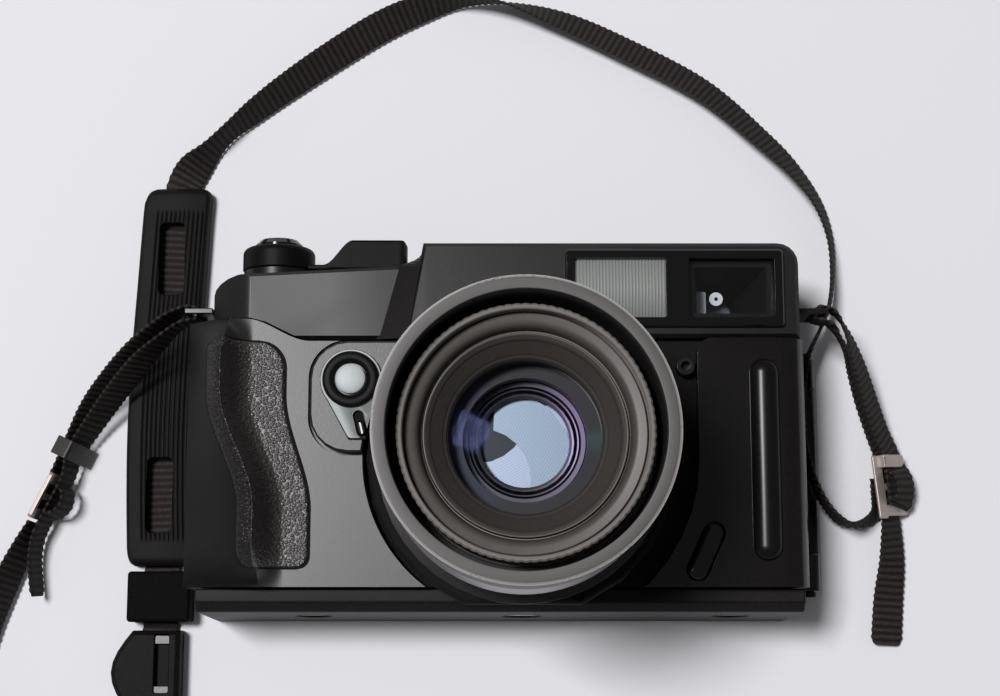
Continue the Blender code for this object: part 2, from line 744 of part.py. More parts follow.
def grip_cover():
    top = BODY_TOP + SHOULDER_RISE + GAP
    sections = [grip_section(y) for y in spread(-BODY_BOTTOM, top, 15)]
    grip = make("grip_cover", bridge(sections), "black_plastic")
    cut(grip, above_shoulder(0.0, top + GAP))
    cut(grip, block((-BODY_LEFT + WALL, -BODY_BOTTOM + WALL, 0.0),
                    (-CHASSIS_HALF - WALL, BODY_TOP - WALL, GRIP_EDGE - WALL)))
    cut(grip, prism(inset(release_outline(), -GAP), COVER_FRONT - RELEASE_PLATE_SUNK - GAP,
                    COVER_FRONT + GRIP_RISE))


def shoulder_line(lift):
    """Points along the grip's upper edge, from its inner end to its outer end."""
    left = -BODY_LEFT - GAP
    right = SHOULDER_INNER + GAP
    return [(x, shoulder(x) + lift) for x in spread(right, left, 12)]


def above_shoulder(low, top):
    line = shoulder_line(0.0)
    outline = line[::-1] + [(0.0, BODY_TOP), (0.0, top), (-BODY_LEFT - GAP, top)]
    return prism(outline, low, COVER_FRONT + GRIP_RISE + GAP)


def rubber_edges(y):
    flare = RUBBER_FLARE * smooth((y - CREST_BEND_LOW) / (CREST_BEND_TOP - CREST_BEND_LOW))
    return crest(y) - RUBBER_LEFT, crest(y) + RUBBER_RIGHT + flare


def grip_rubber():
    """A thick rubber skin seated on the crest of the grip, with rounded ends."""
    rows = 14
    bm = bmesh.new()
    skins = []
    for lift in (RUBBER_SEAT, RUBBER_SEAT + RUBBER_THICK):
        skins.append([rubber_row(bm, y, lift) for y in spread(RUBBER_BOTTOM, RUBBER_TOP, rows)])
    for row in range(rows):
        for i in range(len(skins[0][row]) - 1):
            for grid in skins:
                bm.faces.new((grid[row][i], grid[row][i + 1], grid[row + 1][i + 1], grid[row + 1][i]))
    close_skins(bm, *skins)
    make("grip_rubber", bm, "rubber")


def steepness(x, y):
    """How much longer an upright lift must be where the grip slopes."""
    slope = (grip_height(x + GAP, y) - grip_height(x - GAP, y)) / (2 * GAP)
    return math.sqrt(1.0 + slope ** 2)


def rubber_row(bm, y, lift):
    """Points across the rubber, in step with the points of the cover's slope."""
    left, right = rubber_edges(y)
    middle = crest(y)
    foot = middle + GRIP_FALL
    share = abs(2 * y - RUBBER_TOP - RUBBER_BOTTOM) / (RUBBER_TOP - RUBBER_BOTTOM)
    draw = (right - left) * RUBBER_ROUND * share ** 8
    xs = [left + (middle - left) * i / 3 for i in range(3)]
    xs += [middle + GRIP_FALL * i / 6 for i in range(6)]
    xs += [foot + (right - foot) * i / 3 for i in range(4)]
    narrow = 1.0 - 2 * draw / (right - left)
    xs = [left + draw + (x - left) * narrow for x in xs]
    return [bm.verts.new((x, y, grip_height(x, y) + lift * steepness(x, y))) for x in xs]


def close_skins(bm, lower, upper):
    """Join the borders of two equal grids with a wall."""
    def border(grid):
        right = [line[-1] for line in grid[1:-1]]
        left = [line[0] for line in grid[1:-1]]
        return grid[0] + right + grid[-1][::-1] + left[::-1]
    low, high = border(lower), border(upper)
    for i in range(len(low)):
        j = (i + 1) % len(low)
        bm.faces.new((low[i], low[j], high[j], high[i]))


def deck_top(x):
    share = (x + DECK_LEFT) / (DECK_LEFT + HUMP_LEFT_HIGH)
    return DECK_TOP_LEFT + (DECK_TOP_RIGHT - DECK_TOP_LEFT) * share


def deck_corner():
    """Long, low round corner at the deck's left end."""
    x = -DECK_LEFT + DECK_CORNER_WIDE
    y = deck_top(-DECK_LEFT) - DECK_CORNER
    turn = arc((0.0, 0.0), 1.0, 90, 180)
    return [(x + a * DECK_CORNER_WIDE, y + b * DECK_CORNER) for a, b in turn]


def deck_solid():
    right = HUMP_LEFT_LOW + WALL * 3
    corner = deck_corner()
    outline = [(-DECK_LEFT, TOP_SEAM), (right, TOP_SEAM), (right, deck_top(right))] + corner
    return prism(outline, 0.0, DECK_FRONT, bevel=COVER_CHAMFER, foot=COVER_CHAMFER)


def hump_solid():
    corner = arc((HUMP_RIGHT - HUMP_CORNER, HUMP_TOP - HUMP_CORNER), HUMP_CORNER, 0, 90)
    outline = [(HUMP_LEFT_LOW, TOP_SEAM), (HUMP_RIGHT, TOP_SEAM)] + corner
    outline += [(HUMP_LEFT_HIGH, HUMP_TOP)]
    return prism(outline, 0.0, COVER_FRONT, bevel=COVER_CHAMFER, foot=COVER_CHAMFER)


def hump_left(y):
    """Left edge of the hump's front, which leans to the right as it rises."""
    share = (y - TOP_SEAM) / (HUMP_TOP - TOP_SEAM)
    return HUMP_LEFT_LOW + (HUMP_LEFT_HIGH - HUMP_LEFT_LOW) * share


def ramp_solid():
    """Sloping face between the deck's front and the hump's, which sweeps up to the hump's top."""
    inner = HUMP_LEFT_HIGH + WALL
    low = deck_top(hump_left(DECK_TOP_RIGHT))
    rise = HUMP_TOP - COVER_CHAMFER - low
    rows = [low + rise * i / RAMP_ROWS for i in range(RAMP_ROWS, -1, -1)] + [TOP_SEAM]
    foot, head = [], []
    for i, y in enumerate(rows):
        sweep = 1.0 - min(1.0, (HUMP_TOP - y) / (HUMP_TOP - low)) ** 4
        foot.append((hump_left(y) - RAMP_WIDTH * (1.0 - sweep), y))
        bow = math.sin(math.pi * i / (len(rows) - 1))
        head.append((hump_left(y) + COVER_CHAMFER + GAP * bow, y))
    ends = [(inner, TOP_SEAM), (inner, rows[0])]
    return stack([(ends + foot, COVER_CHAMFER), (ends + foot, DECK_FRONT - COVER_CHAMFER),
                  (ends + head, COVER_FRONT)])


def top_cover():
    cover = make("top_cover", hump_solid(), "black_plastic")
    join(cover, deck_solid(), ramp_solid())
    low = TOP_SEAM - GAP
    inside = HUMP_LEFT_LOW + WALL * 4
    deck_room = [(-DECK_LEFT + WALL, low), (inside, low), (inside, deck_top(inside) - WALL),
                 (-DECK_LEFT + WALL, deck_top(-DECK_LEFT) - WALL - COVER_CHAMFER)]
    cut(cover, prism(deck_room, WALL, DECK_FRONT - WALL))
    roof = HUMP_TOP - HUMP_ROOF
    cut(cover, block((HUMP_LEFT_LOW + WALL * 3, low, WALL), (HUMP_RIGHT - WALL, roof, COVER_FRONT - WALL)))
    cut(cover, shoulder_notch())
    cut(cover, window_room(), shoe_room())
    cut(cover, disc(EYEPIECE_RADIUS + GAP, -GAP, WALL + GAP, SMALL, "z", eyepiece_place()))
    cut(cover, disc(SHAFT_RADIUS + RUN, BODY_TOP, HUMP_TOP, SMALL, "y", (LEVER_X, LEVER_Z)))


def shoulder_notch():
    """Room for the grip's raised outer end, in front of the cover's back wall."""
    outline = [(-BODY_LEFT - GAP, BODY_TOP), (SHOULDER_INNER + GAP, BODY_TOP)] + shoulder_line(GAP)
    return prism(outline, CHASSIS_BACK, DECK_FRONT + GAP)


def window_room():
    lap = FRAME_LIP
    return block((FRAME_LEFT + lap, FRAME_LOW + lap, COVER_FRONT - WALL * 2),
                 (FRAME_RIGHT - lap, FRAME_HIGH - lap, COVER_FRONT + GAP))


def shoe_room():
    half = SHOE_WIDTH / 2 + GAP
    reach = SHOE_LENGTH / 2 + GAP
    return block((-half, HUMP_TOP - SHOE_HEIGHT - GAP, SHOE_Z - reach),
                 (half, HUMP_TOP + GAP, SHOE_Z + reach))


def hot_shoe():
    half = SHOE_WIDTH / 2
    low = HUMP_TOP - SHOE_HEIGHT
    high = HUMP_TOP
    wall = half - SHOE_WALL
    lip = wall - SHOE_LIP
    floor = low + SHOE_WALL
    pad = lip - GAP
    outline = [(-half, low), (half, low), (half, high), (lip, high), (lip, high - SHOE_WALL),
               (wall, high - SHOE_WALL), (wall, floor), (pad, floor), (pad, floor + SHOE_PAD),
               (-pad, floor + SHOE_PAD), (-pad, floor), (-wall, floor),
               (-wall, high - SHOE_WALL), (-lip, high - SHOE_WALL), (-lip, high), (-half, high)]
    make("hot_shoe", prism(outline, SHOE_Z - SHOE_LENGTH / 2, SHOE_Z + SHOE_LENGTH / 2), "steel")


def window_boxes():
    """Openings of the frame as (low, high) corners: the illumination window's, then the finder's."""
    edge = FRAME_EDGE
    low = FRAME_LOW + edge
    high = FRAME_HIGH - edge
    return (((FRAME_LEFT + edge, low), (FRAME_BAR_LEFT, high)),
            ((FRAME_BAR_RIGHT, low), (FRAME_RIGHT - edge, high)))


def window_frame():
    back = COVER_FRONT + RUN
    front = back + FRAME_THICK
    outline = rounded_box((FRAME_LEFT, FRAME_LOW), (FRAME_RIGHT, FRAME_HIGH), FRAME_EDGE / 2)
    frame = make("window_frame", prism(outline, back, front, bevel=FRAME_THICK / 4), "gloss_black")
    for low, high in window_boxes():
        cut(frame, prism(rounded_box(low, high, FRAME_EDGE / 4), back - GAP, front + GAP))


def windows():
    front = COVER_FRONT
    lap = FRAME_EDGE - FRAME_LIP - GAP
    for (low, high), name, finish in zip(window_boxes(), ("illumination_window", "viewfinder_window"),
                                         ("frosted", "glass")):
        make(name, block((low[0] - lap, low[1] - lap, front - WINDOW_THICK),
                         (high[0] + lap, high[1] + lap, front)), finish)


def finder_tunnel():
    (low, high) = window_boxes()[1]
    front = COVER_FRONT - WINDOW_THICK - GAP
    back = front - TUNNEL_LENGTH
    tunnel = make("finder_tunnel", block((*low, back), (*high, front)), "black_plastic")
    wall = TUNNEL_WALL
    mouth = box_outline((low[0] + wall, low[1] + wall), (high[0] - wall, high[1] - wall))
    middle = eyepiece_place()
    tail = [((x - middle[0]) / 2 + middle[0], (y - middle[1]) / 2 + middle[1]) for x, y in mouth]
    cut(tunnel, stack([(tail, back - GAP), (mouth, front + GAP)]))


def eyepiece_place():
    (low, high) = window_boxes()[1]
    return ((low[0] + high[0]) / 2, (low[1] + high[1]) / 2)


def eyepiece_lens():
    glass = disc(EYEPIECE_RADIUS, GAP, GAP + EYEPIECE_THICK, SMALL, "z", eyepiece_place())
    make("eyepiece_lens", glass, "glass")


def base_cover():
    section = [(BASE_SEAM, 0.0), (BASE_SEAM, BASE_FRONT), (-BASE_FRONT_LOW + BASE_CORNER, BASE_FRONT),
               (-BASE_FRONT_LOW, BASE_FRONT - BASE_CORNER), (-BASE_BACK_LOW, BASE_CORNER / 2),
               (-BASE_BACK_LOW + BASE_CORNER / 2, 0.0)]
    cover = make("base_cover", prism(section, -BASE_LEFT, BASE_RIGHT, "yz"), "black_plastic")
    room = [(BASE_SEAM + GAP, WALL), (BASE_SEAM + GAP, BASE_FRONT - WALL),
            (-BASE_FRONT_LOW + WALL + GAP, BASE_FRONT - WALL - GAP), (-BASE_BACK_LOW + WALL, WALL)]
    cut(cover, prism(room, -BASE_LEFT + WALL, BASE_RIGHT - WALL, "yz"))
    low = -BASE_BACK_LOW - GAP
    for x, z, radius in ((0.0, TRIPOD_Z, TRIPOD_RADIUS + GAP), (-SPOOL_X, SPOOL_Z, KNOB_RADIUS + GAP),
                         (SPOOL_X, SPOOL_Z, KNOB_RADIUS + GAP)):
        cut(cover, disc(radius, low, BASE_SEAM, SMALL, "y", (x, z)))


def tripod_socket():
    low = base_low(TRIPOD_Z) + GAP
    bush = ring(TRIPOD_BORE, TRIPOD_RADIUS, low, BASE_SEAM, SMALL, "y", (0.0, TRIPOD_Z))
    make("tripod_socket", bush, "steel")


def panel_corner():
    """What is taken off the right cover's upper left, where its edge runs up to a round corner."""
    low, high = 0.0, BODY_TOP
    corner = arc((PANEL_INNER + PANEL_CORNER, high - PANEL_CORNER), PANEL_CORNER, 180, 90)
    end = [(PANEL_INNER + PANEL_CORNER, high + GAP), (0.0, high + GAP)]
    return [(0.0, low), (PANEL_INNER, low)] + corner + end


def right_cover():
    low = -BODY_BOTTOM
    high = BODY_TOP
    back = CHASSIS_FRONT + GAP
    rim = CHASSIS_BACK + GAP
    inner = CHASSIS_HALF + GAP
    left = math.sqrt(PANEL_INNER ** 2 - low ** 2)
    bend = arc((BODY_RIGHT - PANEL_ROUND, PANEL_FRONT - PANEL_ROUND), PANEL_ROUND, 0, 90)
    section = [(BODY_RIGHT, rim)] + bend + [(left, PANEL_FRONT), (left, back), (inner, back), (inner, rim)]
    cover = make("right_cover", prism(section, low, high, "xz"), "black_plastic")
    cut(cover, disc(PANEL_INNER, back - GAP, PANEL_FRONT + GAP, FINE))
    cut(cover, prism(panel_corner(), back - GAP, PANEL_FRONT + GAP))
    rib = stadium((RIB_X, (RIB_TOP + RIB_BOTTOM) / 2), RIB_TOP - RIB_BOTTOM, RIB_WIDTH, 0.0)
    join(cover, prism(rib, back + WALL, PANEL_FRONT + RIB_HEIGHT, bevel=RIB_HEIGHT * 0.8))
    well = stadium((OBLONG_X, OBLONG_Y), OBLONG_LENGTH + 2 * GAP, OBLONG_WIDTH + 2 * GAP, OBLONG_TILT)
    cut(cover, prism(well, PANEL_FRONT - OBLONG_DEPTH - OBLONG_TRAVEL, PANEL_FRONT + GAP))
    ends = ((HINGE_SPLIT, high), (low, -HINGE_SPLIT))
    web = [(BODY_RIGHT - WALL / 2, rim), (HINGE_X - HINGE_RADIUS * 0.6, HINGE_Z + HINGE_RADIUS * 0.6),
           (HINGE_X + HINGE_RADIUS * 0.3, HINGE_Z + HINGE_RADIUS * 0.9),
           (BODY_RIGHT - WALL / 2, rim + HINGE_RADIUS * 0.6)]
    for start, stop in ends:
        join(cover, knuckle(start, stop), prism(web, start, stop, "xz"))
    cut(cover, hinge_bore())


def oblong_button():
    low = PANEL_FRONT - OBLONG_DEPTH
    outline = stadium((OBLONG_X, OBLONG_Y), OBLONG_LENGTH, OBLONG_WIDTH, OBLONG_TILT)
    bm = prism(outline, low, PANEL_FRONT + OBLONG_PROUD, bevel=OBLONG_PROUD)
    make("oblong_button", bm, "gloss_black", (OBLONG_X, OBLONG_Y, low))


def sync_terminal():
    low = CHASSIS_FRONT + GAP
    high = low + SYNC_HEIGHT
    floor = low + SYNC_HEIGHT / 3
    profile = [(0, low), (SYNC_RADIUS, low), (SYNC_RADIUS, high),
               (SYNC_BORE, high), (SYNC_BORE, floor), (0, floor)]
    make("sync_terminal", turned(profile, SMALL, "z", (SYNC_X, SYNC_Y)), "steel")


def release_outline():
    """D-shaped outline whose right side follows the round lens plate."""
    middle = RELEASE_Y - RELEASE_PLATE_DROP
    low = middle - RELEASE_PLATE_HALF
    high = middle + RELEASE_PLATE_HALF - GAP * 2
    left = RELEASE_X - RELEASE_PLATE_LEFT
    radius = RELEASE_PLATE_CORNER
    edge = LENS_PLATE_RADIUS + LENS_GAP
    start = 180 - math.degrees(math.asin(high / edge))
    end = 180 - math.degrees(math.asin(low / edge))
    outline = arc((left + radius, high - radius), radius, 90, 180)
    outline += arc((left + radius, low + radius), radius, 180, 270)
    return outline + arc((0.0, 0.0), edge, end, start)


def release_boss():
    """Teardrop round the button, with a tail down to the lock slot."""
    low = RELEASE_Y - RELEASE_BOSS_TAIL
    left = RELEASE_X + RELEASE_TAIL_SHIFT - RELEASE_TAIL_WIDTH / 2
    round_part = arc((RELEASE_X, RELEASE_Y), RELEASE_BOSS_RADIUS, -20, 220)
    return round_part + [(left, low), (left + RELEASE_TAIL_WIDTH, low)]


def release_plate():
    low = COVER_FRONT - RELEASE_PLATE_SUNK
    top = RELEASE_PLATE_TOP + RELEASE_BOSS_HEIGHT
    outline = inset(release_outline(), GAP)
    slab = prism(outline, low, RELEASE_PLATE_TOP, bevel=COVER_CHAMFER / 2)
    plate = make("release_plate", slab, "black_plastic")
    join(plate, prism(release_boss(), low + GAP, top, bevel=RELEASE_BOSS_HEIGHT / 3))
    cut(plate, disc(BUTTON_RADIUS + RUN, low + GAP * 2, top + GAP, SMALL, "z", (RELEASE_X, RELEASE_Y)))
    cut(plate, disc(LENS_PLATE_RADIUS + GAP, low - GAP, top + GAP, FINE))
    slot = stadium((LOCK_X, LOCK_Y), LOCK_SLOT_LENGTH, LOCK_SLOT_WIDTH, LOCK_TILT)
    cut(plate, prism(slot, top - LOCK_SLOT_DEPTH, top + GAP))


def release_collar():
    low = RELEASE_PLATE_TOP + RELEASE_BOSS_HEIGHT + RUN
    high = low + COLLAR_HEIGHT
    inner = BUTTON_RADIUS + GAP
    slope = COLLAR_HEIGHT / 2
    profile = [(inner, low), (COLLAR_RADIUS, low), (COLLAR_RADIUS, high - slope),
               (COLLAR_RADIUS - slope, high), (inner + slope, high), (inner, high - slope)]
    make("release_collar", turned(profile, PLAIN, "z", (RELEASE_X, RELEASE_Y)), "gloss_black")


def front_release():
    top = RELEASE_PLATE_TOP + RELEASE_BOSS_HEIGHT + RUN + COLLAR_HEIGHT + BUTTON_TRAVEL * 0.6
    low = top - BUTTON_HEIGHT
    radius = BUTTON_RADIUS
    profile = [(0, low), (radius, low), (radius, top - radius * 0.16),
               (radius * 0.85, top - radius * 0.04), (0, top)]
    origin = (RELEASE_X, RELEASE_Y, low)
    make("front_release_button", turned(profile, SMALL, "z", (RELEASE_X, RELEASE_Y)), "silver", origin)


def release_lock():
    top = RELEASE_PLATE_TOP + RELEASE_BOSS_HEIGHT
    low = top - LOCK_SLOT_DEPTH + RUN
    turn = math.radians(LOCK_TILT)
    back = (LOCK_SLOT_LENGTH - LOCK_LENGTH) / 2 - GAP
    centre = (LOCK_X + back * math.sin(turn), LOCK_Y - back * math.cos(turn))
    outline = stadium(centre, LOCK_LENGTH, LOCK_SLOT_WIDTH - 2 * GAP, LOCK_TILT)
    slab = prism(outline, low, top + LOCK_PROUD, bevel=LOCK_PROUD / 2)
    make("release_lock", slab, "gloss_black", (*centre, low))


def advance_lever():
    low = LEVER_UNDER
    high = low + HUB_HEIGHT
    well = high - TOP_BUTTON_HEIGHT + TOP_BUTTON_PROUD - TOP_BUTTON_TRAVEL - GAP * 2
    bore = TOP_BUTTON_RADIUS + GAP
    profile = [(0, low - SHAFT_LENGTH), (SHAFT_RADIUS, low - SHAFT_LENGTH), (SHAFT_RADIUS, low),
               (HUB_RADIUS, low), (HUB_RADIUS, high - COVER_CHAMFER), (HUB_RADIUS - COVER_CHAMFER, high),
               (bore, high), (bore, well), (0, well)]
    origin = (LEVER_X, low, LEVER_Z)
    lever = make("advance_lever", turned(profile, PLAIN, "y", (LEVER_X, LEVER_Z)), "black_plastic", origin)
    along = Vector((ARM_END_X - LEVER_X, ARM_END_Z - LEVER_Z))
    heading = along.normalized()
    side = Vector((-heading.y, heading.x)) * ARM_WIDTH / 2
    pivot = Vector((LEVER_X, LEVER_Z))
    arm = lever_bar(pivot, heading, side, HUB_RADIUS * 0.75, along.length)
    join(lever, prism(arm, low, low + ARM_HEIGHT, "xz"))
    tip = lever_bar(pivot, heading, side, along.length - TIP_LENGTH, along.length)
    join(lever, prism(tip, low + GAP, low + TIP_HEIGHT, "xz", bevel=COVER_CHAMFER * 2))


def lever_bar(pivot, heading, side, start, stop):
    """Outline of a stretch of the lever's arm, with a blunt end."""
    near, far = pivot + heading * start, pivot + heading * stop
    shy = far - heading * ARM_WIDTH / 4
    points = (near - side, shy - side, far - side / 2, far + side / 2, shy + side, near + side)
    return [tuple(p) for p in points]


def top_release():
    high = LEVER_UNDER + HUB_HEIGHT + TOP_BUTTON_PROUD
    low = high - TOP_BUTTON_HEIGHT
    radius = TOP_BUTTON_RADIUS
    profile = [(0, low), (radius, low), (radius, high - radius / 3),
               (radius * 0.8, high - radius / 8), (0, high)]
    origin = (LEVER_X, low, LEVER_Z)
    make("top_release_button", turned(profile, SMALL, "y", (LEVER_X, LEVER_Z)), "black_alloy", origin)


def strap_lugs():
    for name, start, end in (("strap_lug_left", -DECK_LEFT - RUN, -LUG_LEFT_END),
                             ("strap_lug_right", HUMP_RIGHT + RUN, LUG_RIGHT_END)):
        low = LUG_Z - LUG_SPAN / 2
        high = LUG_Z + LUG_SPAN / 2
        side = 1 if end > 0 else -1
        xs = sorted((start, end))
        outline = box_outline((xs[0], low), (xs[1], high))
        lug = make(name, prism(outline, LUG_Y - LUG_THICK / 2, LUG_Y + LUG_THICK / 2, "xz"), "steel")
        slot = sorted((end - side * LUG_BAR, end - side * (LUG_BAR + LUG_SLOT)))
        hole = box_outline((slot[0], low + LUG_BAR), (slot[1], high - LUG_BAR))
        cut(lug, prism(hole, LUG_Y - LUG_THICK, LUG_Y + LUG_THICK, "xz"))


def lens_plate():
    high = BODY_TOP - GAP
    radius = LENS_PLATE_RADIUS
    upper = math.degrees(math.asin(high / radius))
    lower = math.degrees(math.asin(LENS_PLATE_LOW / radius))
    outline = arc((0, 0), radius, lower, upper) + arc((0, 0), radius, 180 - upper, 180 - lower)
    slab = prism(outline, LENS_PLATE_BACK, LENS_PLATE_FRONT, bevel=COVER_CHAMFER)
    plate = make("lens_plate", slab, "black_plastic")
    cut(plate, disc(THROAT_RADIUS, LENS_PLATE_BACK - GAP, LENS_PLATE_FRONT + GAP, FINE))


def helicoid_base():
    step = HELICOID_BACK + FLANGE_THICK
    profile = [(SLEEVE_BORE, HELICOID_BACK), (FLANGE_RADIUS, HELICOID_BACK),
               (FLANGE_RADIUS, step - COVER_CHAMFER), (HELICOID_RADIUS, step),
               (HELICOID_RADIUS, HELICOID_FRONT), (SLEEVE_RADIUS, HELICOID_FRONT),
               (SLEEVE_RADIUS, SLEEVE_FRONT), (SLEEVE_BORE, SLEEVE_FRONT)]
    make("helicoid_base", turned(profile, FINE), "black_alloy")


def ribbed_ring(name, radius, depth, ribs, low, high, bores):
    """A finger ring with a ribbed outside; bores are (radius, low, high) steps of its inside."""
    body = make(name, prism(ribbed_outline(radius, depth, ribs), low, high), "black_alloy")
    for bore, start, stop in bores:
        cut(body, disc(bore, start, stop, FINE))


def focus_ring():
    low = HELICOID_FRONT + GAP
    lip = FOCUS_FRONT - FOCUS_LIP
    bores = ((SLEEVE_RADIUS + RUN, low - GAP, lip), (SLEEVE_BORE, lip - GAP, FOCUS_FRONT + GAP))
    ribbed_ring("focus_ring", FOCUS_RADIUS, FOCUS_RIB_DEPTH, FOCUS_RIBS, low, FOCUS_FRONT, bores)


def scale_rings():
    for name, low in (("shutter_speed_ring", SPEED_BACK), ("aperture_ring", APERTURE_BACK)):
        high = low + RING_LENGTH
        bores = ((TUBE_RADIUS + RUN, low - GAP, high + GAP),)
        ribbed_ring(name, RING_RADIUS, RING_RIB_DEPTH, RING_RIBS, low, high, bores)


def lens_barrel():
    glass_bore = FRONT_GLASS_RADIUS + RUN
    cell_bore = NAME_RING_INNER
    inner_bore = INNER_GLASS_RADIUS + RUN
    shelf = CASE_FRONT + GAP
    tube_bore = CASE_RADIUS + RUN
    profile = [(TUBE_RADIUS, TUBE_BACK), (TUBE_RADIUS, TUBE_FRONT), (RIM_RADIUS, TUBE_FRONT),
               (RIM_RADIUS, RIM_FRONT), (FILTER_RADIUS, RIM_FRONT), (FILTER_RADIUS, NAME_SEAT),
               (cell_bore, NAME_SEAT), (cell_bore, CELL_SEAT), (glass_bore, CELL_SEAT),
               (glass_bore, FRONT_GLASS_BACK - RUN), (inner_bore, FRONT_GLASS_BACK - RUN),
               (inner_bore, shelf), (tube_bore, shelf), (tube_bore, TUBE_BACK)]
    make("lens_barrel", turned(profile, FINE), "black_alloy")


def front_rings():
    low = NAME_SEAT + RUN
    high = low + NAME_RING_THICK
    outer = FILTER_RADIUS - RUN
    inner = NAME_RING_INNER + RUN
    rim = high - NAME_RING_FALL
    profile = [(inner, low), (outer, low), (outer, high), (inner, rim)]
    make("front_ring", turned(profile, FINE), "black_alloy")
    low = CELL_SEAT + RUN
    outer = NAME_RING_INNER - RUN
    inner = FRONT_GLASS_RADIUS - GAP
    profile = [(inner, low), (outer, low), (outer, rim), (outer - RETAINER_RIM, rim),
               (inner, low + RETAINER_RIM)]
    make("front_retainer", turned(profile, FINE), "black_alloy")


def domed(radius, low, high, bulge_front, bulge_back, segments):
    """A lens element: rim between low and high, with bulging or hollow faces."""
    share = 0.55
    drop = 1.0 - share ** 2
    profile = [(0, low - bulge_back), (radius * share, low - bulge_back * drop), (radius, low),
               (radius, high), (radius * share, high + bulge_front * drop), (0, high + bulge_front)]
    return turned(profile, segments)


def elements():
    front = FRONT_GLASS_FRONT - FRONT_GLASS_BULGE
    glass = domed(FRONT_GLASS_RADIUS, FRONT_GLASS_BACK, front, FRONT_GLASS_BULGE, 0.0, PLAIN)
    make("front_element", glass, "glass")
    high = INNER_GLASS_FRONT
    low = high - INNER_GLASS_THICK
    make("inner_element", domed(INNER_GLASS_RADIUS, low, high, -RUN, 0.0, PLAIN), "glass")
    high = CASE_BACK - GAP
    low = high - REAR_GLASS_THICK
    make("rear_element", domed(REAR_GLASS_RADIUS, low, high, 0.0, FRONT_GLASS_BULGE, PLAIN), "glass")


def shutter_case():
    """Round case with the blades' room round the pupil, and the rear lens tube behind it."""
    floor = CASE_BACK + CASE_FLOOR
    roof = floor + CASE_ROOM
    tube = REAR_GLASS_RADIUS + RUN
    tail = CASE_BACK - REAR_TUBE_LENGTH
    profile = [(tube, tail), (tube + REAR_TUBE_WALL, tail), (tube + REAR_TUBE_WALL, CASE_BACK),
               (CASE_RADIUS, CASE_BACK), (CASE_RADIUS, CASE_FRONT), (PUPIL_RADIUS, CASE_FRONT),
               (PUPIL_RADIUS, roof), (CASE_ROOM_RADIUS, roof), (CASE_ROOM_RADIUS, floor),
               (PUPIL_RADIUS, floor), (PUPIL_RADIUS, CASE_BACK), (tube, CASE_BACK)]
    make("shutter_case", turned(profile, PLAIN), "black_alloy")


def blade_outline():
    """A closed blade: the crescent that clears the pupil, swung in about its pivot at +X."""
    pivot = Vector((BLADE_PIVOT, 0.0))
    end = arc(pivot, BLADE_OUTER - BLADE_PIVOT, -110, 0)
    outer = arc((0, 0), BLADE_OUTER, 8, BLADE_SPAN)
    inner = arc((0, 0), BLADE_INNER, BLADE_SPAN - 6, 14)
    swing = Matrix.Rotation(math.radians(BLADE_SWING), 2)
    return [tuple(swing @ (Vector(p) - pivot) + pivot) for p in end + outer + inner]


def shutter_blades():
    outline = blade_outline()
    first = CASE_BACK + CASE_FLOOR + (CASE_ROOM - (BLADE_COUNT - 1) * BLADE_PITCH - BLADE_THICK) / 2
    for i in range(BLADE_COUNT):
        low = first + i * BLADE_PITCH
        angle = math.tau * i / BLADE_COUNT
        bm = prism(outline, low, low + BLADE_THICK)
        bmesh.ops.rotate(bm, verts=bm.verts, matrix=Matrix.Rotation(angle, 3, "Z"))
        origin = (BLADE_PIVOT * math.cos(angle), BLADE_PIVOT * math.sin(angle), low)
        make(f"shutter_blade_{i + 1}", bm, "blade_steel", origin)


def hood():
    lip = HOOD_BACK + HOOD_LIP
    bevel = (HOOD_RADIUS - HOOD_INNER) / 5
    bore = RIM_RADIUS + RUN
    profile = [(bore, HOOD_BACK), (HOOD_RADIUS - bevel, HOOD_BACK), (HOOD_RADIUS, HOOD_BACK + bevel),
               (HOOD_RADIUS, HOOD_FRONT - bevel), (HOOD_RADIUS - bevel, HOOD_FRONT), (HOOD_INNER, HOOD_FRONT),
               (HOOD_INNER, lip), (bore, lip)]
    make("lens_hood", turned(profile, FINE), "black_alloy")


